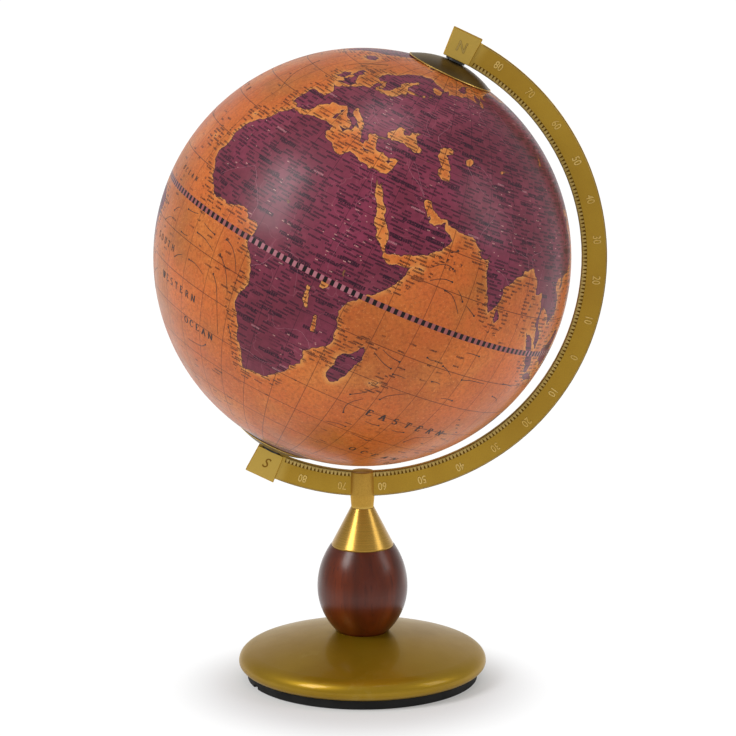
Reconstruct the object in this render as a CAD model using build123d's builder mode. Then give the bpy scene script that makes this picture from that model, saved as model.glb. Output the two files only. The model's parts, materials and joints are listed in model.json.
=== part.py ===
from build123d import *
import os
from math import asin, cos, radians, sin, sqrt, tan

# A terrestrial desk globe: a hollow ball that spins on two pins, held by a half meridian on a
# turned stand. +Z is up, the meridian lies in the XZ plane, the north pole leans towards +X,
# and the origin is on the table under the stem.

# Driving dimensions, in millimetres and degrees.
BALL_RADIUS = 150.0
AXIS_TILT = 25.0
ARC_INNER = 157.2
ARC_OUTER = 175.4
ARC_THICKNESS = 5.5
HEAD_TOP = 154.5
BASE_RADIUS = 91.1

# The ball's layers: printed paper gores glued on card hemispheres, joined by an inner band.
MAP_THICKNESS = 0.3
GLUE_GAP = 0.05
SHELL_WALL = 2.0
BAND_WALL = 2.5
BAND_HALF_HEIGHT = 9.0
POLE_HOLE = 6.1

# The polar bearings: a steel pin fixed in each end block, and a bush and dome on the ball.
PIN_RADIUS = 2.0
RUNNING_CLEARANCE = 0.05
PIN_INNER_END = 137.5
PIN_OUTER_END = 171.9
BUSH_INNER_END = 138.5
BUSH_OUTER_END = 153.8
BUSH_RADIUS = 6.0
BUSH_FLANGE_RADIUS = 12.0
BUSH_FLANGE_TOP = 146.8
BUSH_FLANGE_THICKNESS = 2.0
CAP_RADIUS = 31.6
CAP_TOP = 155.4
CAP_RIM_TOP = 147.5
CAP_RIM_BOTTOM = 146.95
CAP_WALL = 1.0
CAP_HOLE = 2.4
SPACER_RADIUS = 7.2
SPACER_INNER_END = 155.7

# The end blocks, sleeved over the ends of the arc.
BLOCK_HALF_ANGLE = 3.6
BLOCK_INNER = 157.0
BLOCK_OUTER = 177.8
BLOCK_THICKNESS = 8.8
BLOCK_ROUNDING = 0.5
ARC_END_LATITUDE = 88.6
ARC_CHAMFER = 0.35
BLOCK_SCREW_LATITUDE = 87.5
BLOCK_SCREW_RADIUS = 1.25
BLOCK_SCREW_HEAD = 2.4
BLOCK_SCREW_DEPTH = 5.4
BLOCK_SCREW_HEAD_HEIGHT = 1.4

# The stem: slotted head, cone, turned wood and the rod that draws them down on the base.
HEAD_BOTTOM = 127.5
HEAD_FOOT_RADIUS = 8.1
HEAD_WAIST_RADIUS = 8.9
HEAD_WAIST_Z = 137.0
HEAD_TOP_RADIUS = 8.65
CLAMP_RADIUS = 2.0
CLAMP_HEAD = 3.4
CLAMP_TIP_Y = -1.5
CLAMP_HEAD_Y = 5.0
CLAMP_TOP_Y = 8.0
CONE_TOP_RADIUS = 8.6
CONE_RADIUS = 22.7
CONE_BOTTOM = 99.0
CONE_LIP = 1.0
SPIGOT_RADIUS = 12.0
SPIGOT_HEIGHT = 4.0
WOOD_RADIUS = 33.1
WOOD_WAIST_Z = 68.0
WOOD_FOOT_RADIUS = 18.7
WOOD_SHOULDER_RADIUS = 23.6
ROD_RADIUS = 3.0
ROD_CLEARANCE = 0.3
ROD_BOTTOM = 6.3
ROD_TOP = 134.5

# The base: domed disc, iron weight, closing plate, rubber ring and felt.
SEAT_Z = 34.3
SEAT_RADIUS = 20.0
CROWN_TOP = 35.0
CROWN_RADIUS = 260.0
CROWN_EDGE = 82.5
RIM_Z = 12.2
DISC_BOTTOM = 6.5
DISC_FOOT_RADIUS = 84.9
RIM_PULL_FROM_CROWN = 4.8
RIM_PULL_UP = 5.0
RIM_PULL_DOWN = 3.4
FOOT_PULL_OUT = 2.6
FOOT_PULL_UP = 0.4
CAVITY_RADIUS = 70.0
CAVITY_TOP = 24.0
CAVITY_BEVEL = 6.0
BALLAST_RADIUS = 66.0
BALLAST_BOTTOM = 12.0
BALLAST_BEVEL = 4.0
RING_RADIUS = 84.7
RING_WALL = 4.0
RING_LEDGE_Z = 3.0
RING_NOTCH_AZIMUTH = 206.6
RING_NOTCH_WIDTH = 7.0
RING_NOTCH_HEIGHT = 2.0
PLATE_THICKNESS = 1.5
FELT_THICKNESS = 2.9
BASE_SCREW_CIRCLE = 75.5
BASE_SCREW_COUNT = 4
BASE_SCREW_RADIUS = 1.5
BASE_SCREW_HEAD = 3.0
BASE_SCREW_TOP = 14.0
NUT_ACROSS_FLATS = 10.0
NUT_HEIGHT = 4.8
WASHER_RADIUS = 9.0
WASHER_THICKNESS = 1.4
SLOT_WIDTH = 0.7
SLOT_DEPTH = 0.7
FIT_GAP = 0.05
OVERCUT = 1.0
CLAMP_SLOT_TURN = 35.0
HEAD_SLOT_DEPTH = 5.0
SCREW_START_AZIMUTH = 45.0

# Derived places.
BALL_Z = HEAD_TOP + ARC_INNER
SHELL_OUTER = BALL_RADIUS - MAP_THICKNESS - GLUE_GAP
SHELL_INNER = SHELL_OUTER - SHELL_WALL
BAND_OUTER = SHELL_INNER - GLUE_GAP
WASHER_Z = BALLAST_BOTTOM - WASHER_THICKNESS
NUT_Z = WASHER_Z - NUT_HEIGHT

SIDE = Vector(cos(radians(AXIS_TILT)), 0, -sin(radians(AXIS_TILT)))
NORTH = Vector(sin(radians(AXIS_TILT)), 0, cos(radians(AXIS_TILT)))
CENTRE = Vector(0, 0, BALL_Z)
SPIN_AXIS = Axis(CENTRE, NORTH)
MERIDIAN_PLANE = Plane(origin=CENTRE, x_dir=SIDE, z_dir=(0, -1, 0))
POLES = {"north": 1, "south": -1}


def pole_plane(pole):
    """Half-section plane of a pole: x is the distance from the spin axis, y runs out to the pole."""
    return Plane(origin=CENTRE, x_dir=SIDE, z_dir=(0, -pole, 0))


def on_sphere(radius, distance):
    """Section point on a sphere of that radius, at that distance from the spin axis."""
    return (distance, sqrt(radius**2 - distance**2))


def on_meridian(radius, latitude):
    """Section point at that radius and latitude; the equator is on the x axis."""
    return (radius * cos(radians(latitude)), radius * sin(radians(latitude)))


def meridian_point(radius, latitude):
    """The same point in the part's frame."""
    x, y = on_meridian(radius, latitude)
    return CENTRE + SIDE * x + NORTH * y


def rear_plane(point, y):
    """Sketch plane that faces the back of the globe through the point, at that y."""
    return Plane(origin=(point.X, y, point.Z), x_dir=(-1, 0, 0), z_dir=(0, 1, 0))


def flank_radius(inset, height):
    """Radius of the arc that leaves a waist upright and ends that far in and that far along."""
    return (inset**2 + height**2) / (2 * inset)


def keep(builder, name):
    """Names the finished piece and writes it."""
    builder.part.label = name
    export_step(builder.part, f"parts/{name}.step")


os.makedirs("parts", exist_ok=True)

# The ball ------------------------------------------------------------------------------------

for pole_name, pole in POLES.items():
    # The printed sheet of a half, cut away under the polar dome's bush.
    with BuildPart() as map_gores:
        with BuildSketch(pole_plane(pole)):
            with BuildLine():
                outer_edge = on_sphere(BALL_RADIUS, POLE_HOLE)
                inner_edge = on_sphere(BALL_RADIUS - MAP_THICKNESS, POLE_HOLE)
                RadiusArc((BALL_RADIUS, 0), outer_edge, -BALL_RADIUS)
                Line(outer_edge, inner_edge)
                RadiusArc(inner_edge, (BALL_RADIUS - MAP_THICKNESS, 0), BALL_RADIUS - MAP_THICKNESS)
                Line((BALL_RADIUS - MAP_THICKNESS, 0), (BALL_RADIUS, 0))
            make_face()
        revolve(axis=SPIN_AXIS)
    keep(map_gores, f"{pole_name}_map_gores")

    # Half of the ball itself.
    with BuildPart() as hemisphere:
        with BuildSketch(pole_plane(pole)):
            with BuildLine():
                outer_edge = on_sphere(SHELL_OUTER, POLE_HOLE)
                inner_edge = on_sphere(SHELL_INNER, POLE_HOLE)
                RadiusArc((SHELL_OUTER, 0), outer_edge, -SHELL_OUTER)
                Line(outer_edge, inner_edge)
                RadiusArc(inner_edge, (SHELL_INNER, 0), SHELL_INNER)
                Line((SHELL_INNER, 0), (SHELL_OUTER, 0))
            make_face()
        revolve(axis=SPIN_AXIS)
    keep(hemisphere, f"{pole_name}_hemisphere")

    # Spun metal dome with a raised foot along its rim.
    with BuildPart() as polar_cap:
        rise = CAP_TOP - CAP_RIM_TOP
        dome_radius = (CAP_RADIUS**2 + rise**2) / (2 * rise)
        dome_centre = CAP_TOP - dome_radius
        inner_radius = dome_radius - CAP_WALL
        inner_reach = sqrt(inner_radius**2 - (CAP_RIM_BOTTOM - dome_centre) ** 2)
        outer_hole = (CAP_HOLE, dome_centre + sqrt(dome_radius**2 - CAP_HOLE**2))
        inner_hole = (CAP_HOLE, dome_centre + sqrt(inner_radius**2 - CAP_HOLE**2))
        with BuildSketch(pole_plane(pole)):
            with BuildLine():
                RadiusArc(outer_hole, (CAP_RADIUS, CAP_RIM_TOP), dome_radius)
                Line((CAP_RADIUS, CAP_RIM_TOP), (CAP_RADIUS, CAP_RIM_BOTTOM))
                Line((CAP_RADIUS, CAP_RIM_BOTTOM), (inner_reach, CAP_RIM_BOTTOM))
                RadiusArc((inner_reach, CAP_RIM_BOTTOM), inner_hole, -inner_radius)
                Line(inner_hole, outer_hole)
            make_face()
        revolve(axis=SPIN_AXIS)
    keep(polar_cap, f"{pole_name}_polar_cap")

    # Flanged bush, glued in the pole hole from inside.
    with BuildPart() as bush:
        bore = PIN_RADIUS + RUNNING_CLEARANCE
        flange_bottom = BUSH_FLANGE_TOP - BUSH_FLANGE_THICKNESS
        with BuildSketch(pole_plane(pole)):
            with BuildLine():
                Polyline(
                    (bore, BUSH_INNER_END),
                    (BUSH_RADIUS, BUSH_INNER_END),
                    (BUSH_RADIUS, flange_bottom),
                    (BUSH_FLANGE_RADIUS, flange_bottom),
                    (BUSH_FLANGE_RADIUS, BUSH_FLANGE_TOP),
                    (BUSH_RADIUS, BUSH_FLANGE_TOP),
                    (BUSH_RADIUS, BUSH_OUTER_END),
                    (bore, BUSH_OUTER_END),
                    close=True,
                )
            make_face()
        revolve(axis=SPIN_AXIS)
    keep(bush, f"{pole_name}_bush")

    # Steel pin that the ball turns on.
    with BuildPart() as pivot_pin:
        with BuildSketch(pole_plane(pole)):
            with BuildLine():
                Polyline(
                    (0, PIN_INNER_END),
                    (PIN_RADIUS - BLOCK_ROUNDING, PIN_INNER_END),
                    (PIN_RADIUS, PIN_INNER_END + BLOCK_ROUNDING),
                    (PIN_RADIUS, PIN_OUTER_END),
                    (0, PIN_OUTER_END),
                    close=True,
                )
            make_face()
        revolve(axis=SPIN_AXIS)
    keep(pivot_pin, f"{pole_name}_pivot_pin")

    # Black washer that keeps the dome off the block.
    with BuildPart() as spacer:
        with BuildSketch(pole_plane(pole)):
            with BuildLine():
                Polyline(
                    (PIN_RADIUS + FIT_GAP, SPACER_INNER_END),
                    (SPACER_RADIUS, SPACER_INNER_END),
                    (SPACER_RADIUS, BLOCK_INNER),
                    (PIN_RADIUS + FIT_GAP, BLOCK_INNER),
                    close=True,
                )
            make_face()
        revolve(axis=SPIN_AXIS)
    keep(spacer, f"{pole_name}_spacer")

    # Block that sleeves the end of the arc and holds the pin.
    with BuildPart() as end_block:
        slope = tan(radians(BLOCK_HALF_ANGLE))
        with BuildSketch(pole_plane(pole)):
            with BuildLine():
                Polyline(
                    (-BLOCK_INNER * slope, BLOCK_INNER),
                    (BLOCK_INNER * slope, BLOCK_INNER),
                    (BLOCK_OUTER * slope, BLOCK_OUTER),
                    (-BLOCK_OUTER * slope, BLOCK_OUTER),
                    close=True,
                )
            make_face()
        extrude(amount=BLOCK_THICKNESS / 2, both=True)
        fillet(end_block.edges(), radius=BLOCK_ROUNDING)
        with BuildSketch(pole_plane(pole)):
            with BuildLine():
                arc_end_inner = on_meridian(ARC_INNER - OVERCUT, ARC_END_LATITUDE)
                arc_end_outer = on_meridian(ARC_OUTER, ARC_END_LATITUDE)
                mouth_outer = on_meridian(ARC_OUTER, 90 - 2 * BLOCK_HALF_ANGLE)
                mouth_inner = on_meridian(ARC_INNER - OVERCUT, 90 - 2 * BLOCK_HALF_ANGLE)
                Line(arc_end_inner, arc_end_outer)
                RadiusArc(arc_end_outer, mouth_outer, ARC_OUTER)
                Line(mouth_outer, mouth_inner)
                RadiusArc(mouth_inner, arc_end_inner, -(ARC_INNER - OVERCUT))
            make_face()
        extrude(amount=ARC_THICKNESS / 2, both=True, mode=Mode.SUBTRACT)
        with BuildSketch(pole_plane(pole)):
            with BuildLine():
                Polyline(
                    (0, BLOCK_INNER - OVERCUT),
                    (PIN_RADIUS, BLOCK_INNER - OVERCUT),
                    (PIN_RADIUS, PIN_OUTER_END),
                    (0, PIN_OUTER_END),
                    close=True,
                )
            make_face()
        revolve(axis=SPIN_AXIS, mode=Mode.SUBTRACT)
        screw_point = meridian_point((ARC_INNER + ARC_OUTER) / 2, pole * BLOCK_SCREW_LATITUDE)
        with BuildSketch(rear_plane(screw_point, 0)):
            Circle(BLOCK_SCREW_RADIUS + FIT_GAP)
        extrude(amount=BLOCK_THICKNESS, mode=Mode.SUBTRACT)
    keep(end_block, f"{pole_name}_end_block")

# Inner band that both hemispheres are glued to at the equator.
with BuildPart() as equator_band:
    with BuildSketch(MERIDIAN_PLANE):
        with BuildLine():
            reach = sqrt(BAND_OUTER**2 - BAND_HALF_HEIGHT**2)
            inner = BAND_OUTER - BAND_WALL
            RadiusArc((reach, -BAND_HALF_HEIGHT), (reach, BAND_HALF_HEIGHT), -BAND_OUTER)
            Line((reach, BAND_HALF_HEIGHT), (inner, BAND_HALF_HEIGHT))
            Line((inner, BAND_HALF_HEIGHT), (inner, -BAND_HALF_HEIGHT))
            Line((inner, -BAND_HALF_HEIGHT), (reach, -BAND_HALF_HEIGHT))
        make_face()
    revolve(axis=SPIN_AXIS)
keep(equator_band, "equator_band")

# The meridian ----------------------------------------------------------------------------------

# Half ring of flat bar from block to block, on the +X side of the ball.
with BuildPart() as meridian_arc:
    with BuildSketch(MERIDIAN_PLANE):
        with BuildLine():
            inner_north = on_meridian(ARC_INNER, ARC_END_LATITUDE)
            inner_south = on_meridian(ARC_INNER, -ARC_END_LATITUDE)
            outer_north = on_meridian(ARC_OUTER, ARC_END_LATITUDE)
            outer_south = on_meridian(ARC_OUTER, -ARC_END_LATITUDE)
            ThreePointArc(inner_north, (ARC_INNER, 0), inner_south)
            Line(inner_south, outer_south)
            ThreePointArc(outer_south, (ARC_OUTER, 0), outer_north)
            Line(outer_north, inner_north)
        make_face()
    extrude(amount=ARC_THICKNESS / 2, both=True)
    chamfer(meridian_arc.edges().filter_by(GeomType.CIRCLE), length=ARC_CHAMFER)
    for pole in POLES.values():
        screw_point = meridian_point((ARC_INNER + ARC_OUTER) / 2, pole * BLOCK_SCREW_LATITUDE)
        with BuildSketch(rear_plane(screw_point, BLOCK_THICKNESS / 2 - BLOCK_SCREW_DEPTH)):
            Circle(BLOCK_SCREW_RADIUS + FIT_GAP)
        extrude(amount=BLOCK_THICKNESS, mode=Mode.SUBTRACT)
    clamp_point = Vector(0, 0, HEAD_TOP - (ARC_OUTER - ARC_INNER) / 2)
    with BuildSketch(rear_plane(clamp_point, CLAMP_TIP_Y)):
        Circle(CLAMP_RADIUS + FIT_GAP)
    extrude(amount=ARC_THICKNESS, mode=Mode.SUBTRACT)
keep(meridian_arc, "meridian_arc")

# Two pan-head screws through the backs of the end blocks.
with BuildPart() as block_screws:
    for pole in POLES.values():
        screw_point = meridian_point((ARC_INNER + ARC_OUTER) / 2, pole * BLOCK_SCREW_LATITUDE)
        head_y = BLOCK_THICKNESS / 2
        with BuildSketch(rear_plane(screw_point, head_y - BLOCK_SCREW_DEPTH)):
            Circle(BLOCK_SCREW_RADIUS)
        extrude(amount=BLOCK_SCREW_DEPTH)
        with BuildSketch(rear_plane(screw_point, head_y)):
            Circle(BLOCK_SCREW_HEAD)
        extrude(amount=BLOCK_SCREW_HEAD_HEIGHT)
        with BuildSketch(rear_plane(screw_point, head_y + BLOCK_SCREW_HEAD_HEIGHT)):
            Rectangle(3 * BLOCK_SCREW_HEAD, SLOT_WIDTH, rotation=pole * AXIS_TILT)
        extrude(amount=-SLOT_DEPTH, mode=Mode.SUBTRACT)
keep(block_screws, "block_screws")

# The stem --------------------------------------------------------------------------------------

# Turned head, slotted for the arc, threaded for the rod and drilled for the clamp screw.
with BuildPart() as stem_head:
    with BuildSketch(Plane.XZ):
        with BuildLine():
            Polyline(
                (0, HEAD_BOTTOM),
                (HEAD_FOOT_RADIUS, HEAD_BOTTOM),
                (HEAD_WAIST_RADIUS, HEAD_WAIST_Z),
                (HEAD_TOP_RADIUS, HEAD_TOP),
                (0, HEAD_TOP),
                close=True,
            )
        make_face()
    revolve(axis=Axis.Z)
    fillet(stem_head.edges().sort_by(Axis.Z)[-1], radius=BLOCK_ROUNDING)
    with BuildSketch(MERIDIAN_PLANE):
        Circle(ARC_OUTER + FIT_GAP)
        Circle(ARC_INNER - HEAD_SLOT_DEPTH, mode=Mode.SUBTRACT)
    extrude(amount=ARC_THICKNESS / 2 + FIT_GAP, both=True, mode=Mode.SUBTRACT)
    with BuildSketch(Plane.XY.offset(HEAD_BOTTOM)):
        Circle(ROD_RADIUS)
    extrude(amount=ROD_TOP - HEAD_BOTTOM, mode=Mode.SUBTRACT)
    with BuildSketch(rear_plane(clamp_point, CLAMP_TIP_Y)):
        Circle(CLAMP_RADIUS + FIT_GAP)
    extrude(amount=2 * HEAD_WAIST_RADIUS, mode=Mode.SUBTRACT)
    with BuildSketch(rear_plane(clamp_point, CLAMP_HEAD_Y)):
        Circle(CLAMP_HEAD + FIT_GAP)
    extrude(amount=HEAD_WAIST_RADIUS, mode=Mode.SUBTRACT)
keep(stem_head, "stem_head")

# Cheese-head screw that pins the arc in the head's slot, from behind.
with BuildPart() as arc_clamp_screw:
    with BuildSketch(rear_plane(clamp_point, CLAMP_TIP_Y)):
        Circle(CLAMP_RADIUS)
    extrude(amount=CLAMP_HEAD_Y - CLAMP_TIP_Y)
    with BuildSketch(rear_plane(clamp_point, CLAMP_HEAD_Y)):
        Circle(CLAMP_HEAD)
    extrude(amount=CLAMP_TOP_Y - CLAMP_HEAD_Y)
    with BuildSketch(rear_plane(clamp_point, CLAMP_TOP_Y)):
        Rectangle(3 * CLAMP_HEAD, SLOT_WIDTH, rotation=CLAMP_SLOT_TURN)
    extrude(amount=-SLOT_DEPTH, mode=Mode.SUBTRACT)
keep(arc_clamp_screw, "arc_clamp_screw")

# Conical ferrule with a narrow lip, recessed below for the wood's spigot.
with BuildPart() as cone_ferrule:
    with BuildSketch(Plane.XZ):
        with BuildLine():
            Polyline(
                (ROD_RADIUS + ROD_CLEARANCE, CONE_BOTTOM + SPIGOT_HEIGHT + FIT_GAP),
                (SPIGOT_RADIUS + FIT_GAP, CONE_BOTTOM + SPIGOT_HEIGHT + FIT_GAP),
                (SPIGOT_RADIUS + FIT_GAP, CONE_BOTTOM),
                (CONE_RADIUS, CONE_BOTTOM),
                (CONE_RADIUS, CONE_BOTTOM + CONE_LIP),
                (CONE_TOP_RADIUS, HEAD_BOTTOM),
                (ROD_RADIUS + ROD_CLEARANCE, HEAD_BOTTOM),
                close=True,
            )
        make_face()
    revolve(axis=Axis.Z)
keep(cone_ferrule, "cone_ferrule")

# Turned wooden egg: two round flanks tangent at the waist, cut flat at both ends.
with BuildPart() as wood_egg:
    bore = ROD_RADIUS + ROD_CLEARANCE
    waist = (WOOD_RADIUS, WOOD_WAIST_Z)
    lower_flank = flank_radius(WOOD_RADIUS - WOOD_FOOT_RADIUS, WOOD_WAIST_Z - SEAT_Z)
    upper_flank = flank_radius(WOOD_RADIUS - WOOD_SHOULDER_RADIUS, CONE_BOTTOM - WOOD_WAIST_Z)
    with BuildSketch(Plane.XZ):
        with BuildLine():
            Line((bore, SEAT_Z), (WOOD_FOOT_RADIUS, SEAT_Z))
            RadiusArc((WOOD_FOOT_RADIUS, SEAT_Z), waist, -lower_flank)
            RadiusArc(waist, (WOOD_SHOULDER_RADIUS, CONE_BOTTOM), -upper_flank)
            Polyline(
                (WOOD_SHOULDER_RADIUS, CONE_BOTTOM),
                (SPIGOT_RADIUS, CONE_BOTTOM),
                (SPIGOT_RADIUS, CONE_BOTTOM + SPIGOT_HEIGHT),
                (bore, CONE_BOTTOM + SPIGOT_HEIGHT),
                (bore, SEAT_Z),
            )
        make_face()
    revolve(axis=Axis.Z)
keep(wood_egg, "wood_egg")

# Rod through the stem, screwed into the head and drawn down by the nut under the base.
with BuildPart() as tie_rod:
    with BuildSketch(Plane.XY.offset(ROD_BOTTOM)):
        Circle(ROD_RADIUS)
    extrude(amount=ROD_TOP - ROD_BOTTOM)
    chamfer(tie_rod.edges(), length=BLOCK_ROUNDING)
keep(tie_rod, "tie_rod")

# The base --------------------------------------------------------------------------------------

# Lacquered disc: shallow crown, full round rim and a cavity for the weight.
with BuildPart() as base_disc:
    crown_angle = asin(CROWN_EDGE / CROWN_RADIUS)
    crown_centre = CROWN_TOP - CROWN_RADIUS
    crown_edge = (CROWN_EDGE, crown_centre + CROWN_RADIUS * cos(crown_angle))
    seat_edge = (SEAT_RADIUS, crown_centre + sqrt(CROWN_RADIUS**2 - SEAT_RADIUS**2))
    rim_down = (
        crown_edge[0] + RIM_PULL_FROM_CROWN * cos(crown_angle),
        crown_edge[1] - RIM_PULL_FROM_CROWN * sin(crown_angle),
    )
    rim = (BASE_RADIUS, RIM_Z)
    foot = (DISC_FOOT_RADIUS, DISC_BOTTOM)
    with BuildSketch(Plane.XZ):
        with BuildLine():
            Line((ROD_RADIUS + ROD_CLEARANCE, SEAT_Z), (SEAT_RADIUS, SEAT_Z))
            Line((SEAT_RADIUS, SEAT_Z), seat_edge)
            RadiusArc(seat_edge, crown_edge, CROWN_RADIUS)
            Bezier(crown_edge, rim_down, (BASE_RADIUS, RIM_Z + RIM_PULL_UP), rim)
            foot_out = (DISC_FOOT_RADIUS + FOOT_PULL_OUT, DISC_BOTTOM + FOOT_PULL_UP)
            Bezier(rim, (BASE_RADIUS, RIM_Z - RIM_PULL_DOWN), foot_out, foot)
            Polyline(
                foot,
                (CAVITY_RADIUS, DISC_BOTTOM),
                (CAVITY_RADIUS, CAVITY_TOP - CAVITY_BEVEL),
                (CAVITY_RADIUS - CAVITY_BEVEL, CAVITY_TOP),
                (ROD_RADIUS + ROD_CLEARANCE, CAVITY_TOP),
                (ROD_RADIUS + ROD_CLEARANCE, SEAT_Z),
            )
        make_face()
    revolve(axis=Axis.Z)
    with BuildSketch(Plane.XY.offset(DISC_BOTTOM)):
        with PolarLocations(BASE_SCREW_CIRCLE, BASE_SCREW_COUNT, start_angle=SCREW_START_AZIMUTH):
            Circle(BASE_SCREW_RADIUS + FIT_GAP)
    extrude(amount=BASE_SCREW_TOP + FIT_GAP - DISC_BOTTOM, mode=Mode.SUBTRACT)
keep(base_disc, "base_disc")

# Cast weight inside the disc.
with BuildPart() as ballast_weight:
    with BuildSketch(Plane.XY.offset(BALLAST_BOTTOM)):
        Circle(BALLAST_RADIUS)
        Circle(ROD_RADIUS + ROD_CLEARANCE, mode=Mode.SUBTRACT)
    extrude(amount=CAVITY_TOP - BALLAST_BOTTOM)
    top_rim = ballast_weight.edges().group_by(Axis.Z)[-1].sort_by(SortBy.LENGTH)[-1]
    chamfer(top_rim, length=BALLAST_BEVEL)
keep(ballast_weight, "ballast_weight")

with BuildPart() as rod_washer:
    with BuildSketch(Plane.XY.offset(WASHER_Z)):
        Circle(WASHER_RADIUS)
        Circle(ROD_RADIUS + FIT_GAP, mode=Mode.SUBTRACT)
    extrude(amount=WASHER_THICKNESS)
keep(rod_washer, "rod_washer")

with BuildPart() as rod_nut:
    with BuildSketch(Plane.XY.offset(NUT_Z)):
        RegularPolygon(NUT_ACROSS_FLATS / 2, 6, major_radius=False)
        Circle(ROD_RADIUS, mode=Mode.SUBTRACT)
    extrude(amount=NUT_HEIGHT)
keep(rod_nut, "rod_nut")

# Rubber ring that the base stands on, notched at one place in its lower edge.
with BuildPart() as base_ring:
    with BuildSketch(Plane.XZ):
        with BuildLine():
            Polyline(
                (CAVITY_RADIUS, RING_LEDGE_Z),
                (RING_RADIUS - RING_WALL, RING_LEDGE_Z),
                (RING_RADIUS - RING_WALL, 0),
                (RING_RADIUS, 0),
                (RING_RADIUS, DISC_BOTTOM),
                (CAVITY_RADIUS, DISC_BOTTOM),
                close=True,
            )
        make_face()
    revolve(axis=Axis.Z)
    with BuildSketch(Plane.XY):
        with PolarLocations(RING_RADIUS, 1, start_angle=RING_NOTCH_AZIMUTH):
            Rectangle(RING_WALL, RING_NOTCH_WIDTH)
    extrude(amount=RING_NOTCH_HEIGHT, mode=Mode.SUBTRACT)
    with Locations((0, 0, RING_LEDGE_Z)):
        with PolarLocations(BASE_SCREW_CIRCLE, BASE_SCREW_COUNT, start_angle=SCREW_START_AZIMUTH):
            Cone(
                BASE_SCREW_HEAD + FIT_GAP,
                BASE_SCREW_RADIUS + FIT_GAP,
                DISC_BOTTOM - RING_LEDGE_Z,
                align=(Align.CENTER, Align.CENTER, Align.MIN),
                mode=Mode.SUBTRACT,
            )
keep(base_ring, "base_ring")

# Four countersunk screws that hold the ring to the disc.
with BuildPart() as base_screws:
    with BuildSketch(Plane.XY.offset(DISC_BOTTOM)):
        with PolarLocations(BASE_SCREW_CIRCLE, BASE_SCREW_COUNT, start_angle=SCREW_START_AZIMUTH):
            Circle(BASE_SCREW_RADIUS)
    extrude(amount=BASE_SCREW_TOP - DISC_BOTTOM)
    with Locations((0, 0, RING_LEDGE_Z)):
        with PolarLocations(BASE_SCREW_CIRCLE, BASE_SCREW_COUNT, start_angle=SCREW_START_AZIMUTH):
            Cone(
                BASE_SCREW_HEAD,
                BASE_SCREW_RADIUS,
                DISC_BOTTOM - RING_LEDGE_Z,
                align=(Align.CENTER, Align.CENTER, Align.MIN),
            )
keep(base_screws, "base_screws")

# Steel plate that closes the cavity under the weight.
with BuildPart() as closing_plate:
    with BuildSketch(Plane.XY.offset(RING_LEDGE_Z)):
        Circle(CAVITY_RADIUS - FIT_GAP)
    extrude(amount=PLATE_THICKNESS)
keep(closing_plate, "closing_plate")

# Felt that meets the table inside the ring.
with BuildPart() as felt_pad:
    with BuildSketch(Plane.XY):
        Circle(RING_RADIUS - RING_WALL - FIT_GAP)
    extrude(amount=FELT_THICKNESS)
keep(felt_pad, "felt_pad")
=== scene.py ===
"""A table globe on a turned stand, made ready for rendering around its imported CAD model.

The ball's printed map is one closed shell whose mesh follows the coastlines. Its inks are shader nodes that
read longitude and latitude in degrees, and the distance to the nearest coast in millimetres.
"""
import json
import math
import random
from functools import partial

import bmesh
import bpy
import numpy as np
from mathutils import Matrix, Vector, geometry, kdtree


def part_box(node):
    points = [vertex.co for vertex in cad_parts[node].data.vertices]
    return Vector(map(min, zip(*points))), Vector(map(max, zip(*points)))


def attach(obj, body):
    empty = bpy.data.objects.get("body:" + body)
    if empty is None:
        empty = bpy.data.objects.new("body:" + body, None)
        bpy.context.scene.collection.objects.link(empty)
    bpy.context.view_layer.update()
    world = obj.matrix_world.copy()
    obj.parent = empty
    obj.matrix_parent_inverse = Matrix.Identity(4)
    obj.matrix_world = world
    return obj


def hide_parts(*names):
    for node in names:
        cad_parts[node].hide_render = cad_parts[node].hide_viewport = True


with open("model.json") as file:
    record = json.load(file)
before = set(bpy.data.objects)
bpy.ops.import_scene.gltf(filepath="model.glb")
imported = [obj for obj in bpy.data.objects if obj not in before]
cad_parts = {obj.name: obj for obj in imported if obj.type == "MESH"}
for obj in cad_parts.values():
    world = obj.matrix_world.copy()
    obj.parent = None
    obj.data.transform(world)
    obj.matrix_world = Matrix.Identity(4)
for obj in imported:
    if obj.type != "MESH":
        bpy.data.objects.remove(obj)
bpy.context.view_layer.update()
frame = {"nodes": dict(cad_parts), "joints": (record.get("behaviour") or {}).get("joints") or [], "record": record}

MM = 0.001
TURN = 2 * math.pi
DEGREE = math.pi / 180

# -------- places taken from the frame
BALL_JOINT = frame["joints"][0]
CENTRE = Vector(BALL_JOINT["pos_m"])
NORTH = Vector(BALL_JOINT["axis"]).normalized()
FRONT = Vector((0, -1, 0))
EAST = FRONT.cross(NORTH) * -1  # towards the outside of the meridian arc


def reach(node, pick):
    """The nearest or furthest distance of a node's vertices from the ball's centre."""
    return pick((v.co - CENTRE).length for v in frame["nodes"][node].data.vertices)


INK_HEIGHT = 0.04 * MM
BALL_RADIUS = reach("north_map_gores", max) - 2 * INK_HEIGHT  # the ink stays within the CAD ball
SHELL_INSIDE = reach("north_map_gores", min)
ARC_INSIDE = reach("meridian_arc", min)
ARC_OUTSIDE = reach("meridian_arc", max)
ARC_HALF_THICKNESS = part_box("meridian_arc")[1].y
BLOCK_HALF_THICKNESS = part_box("north_end_block")[1].y

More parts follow.
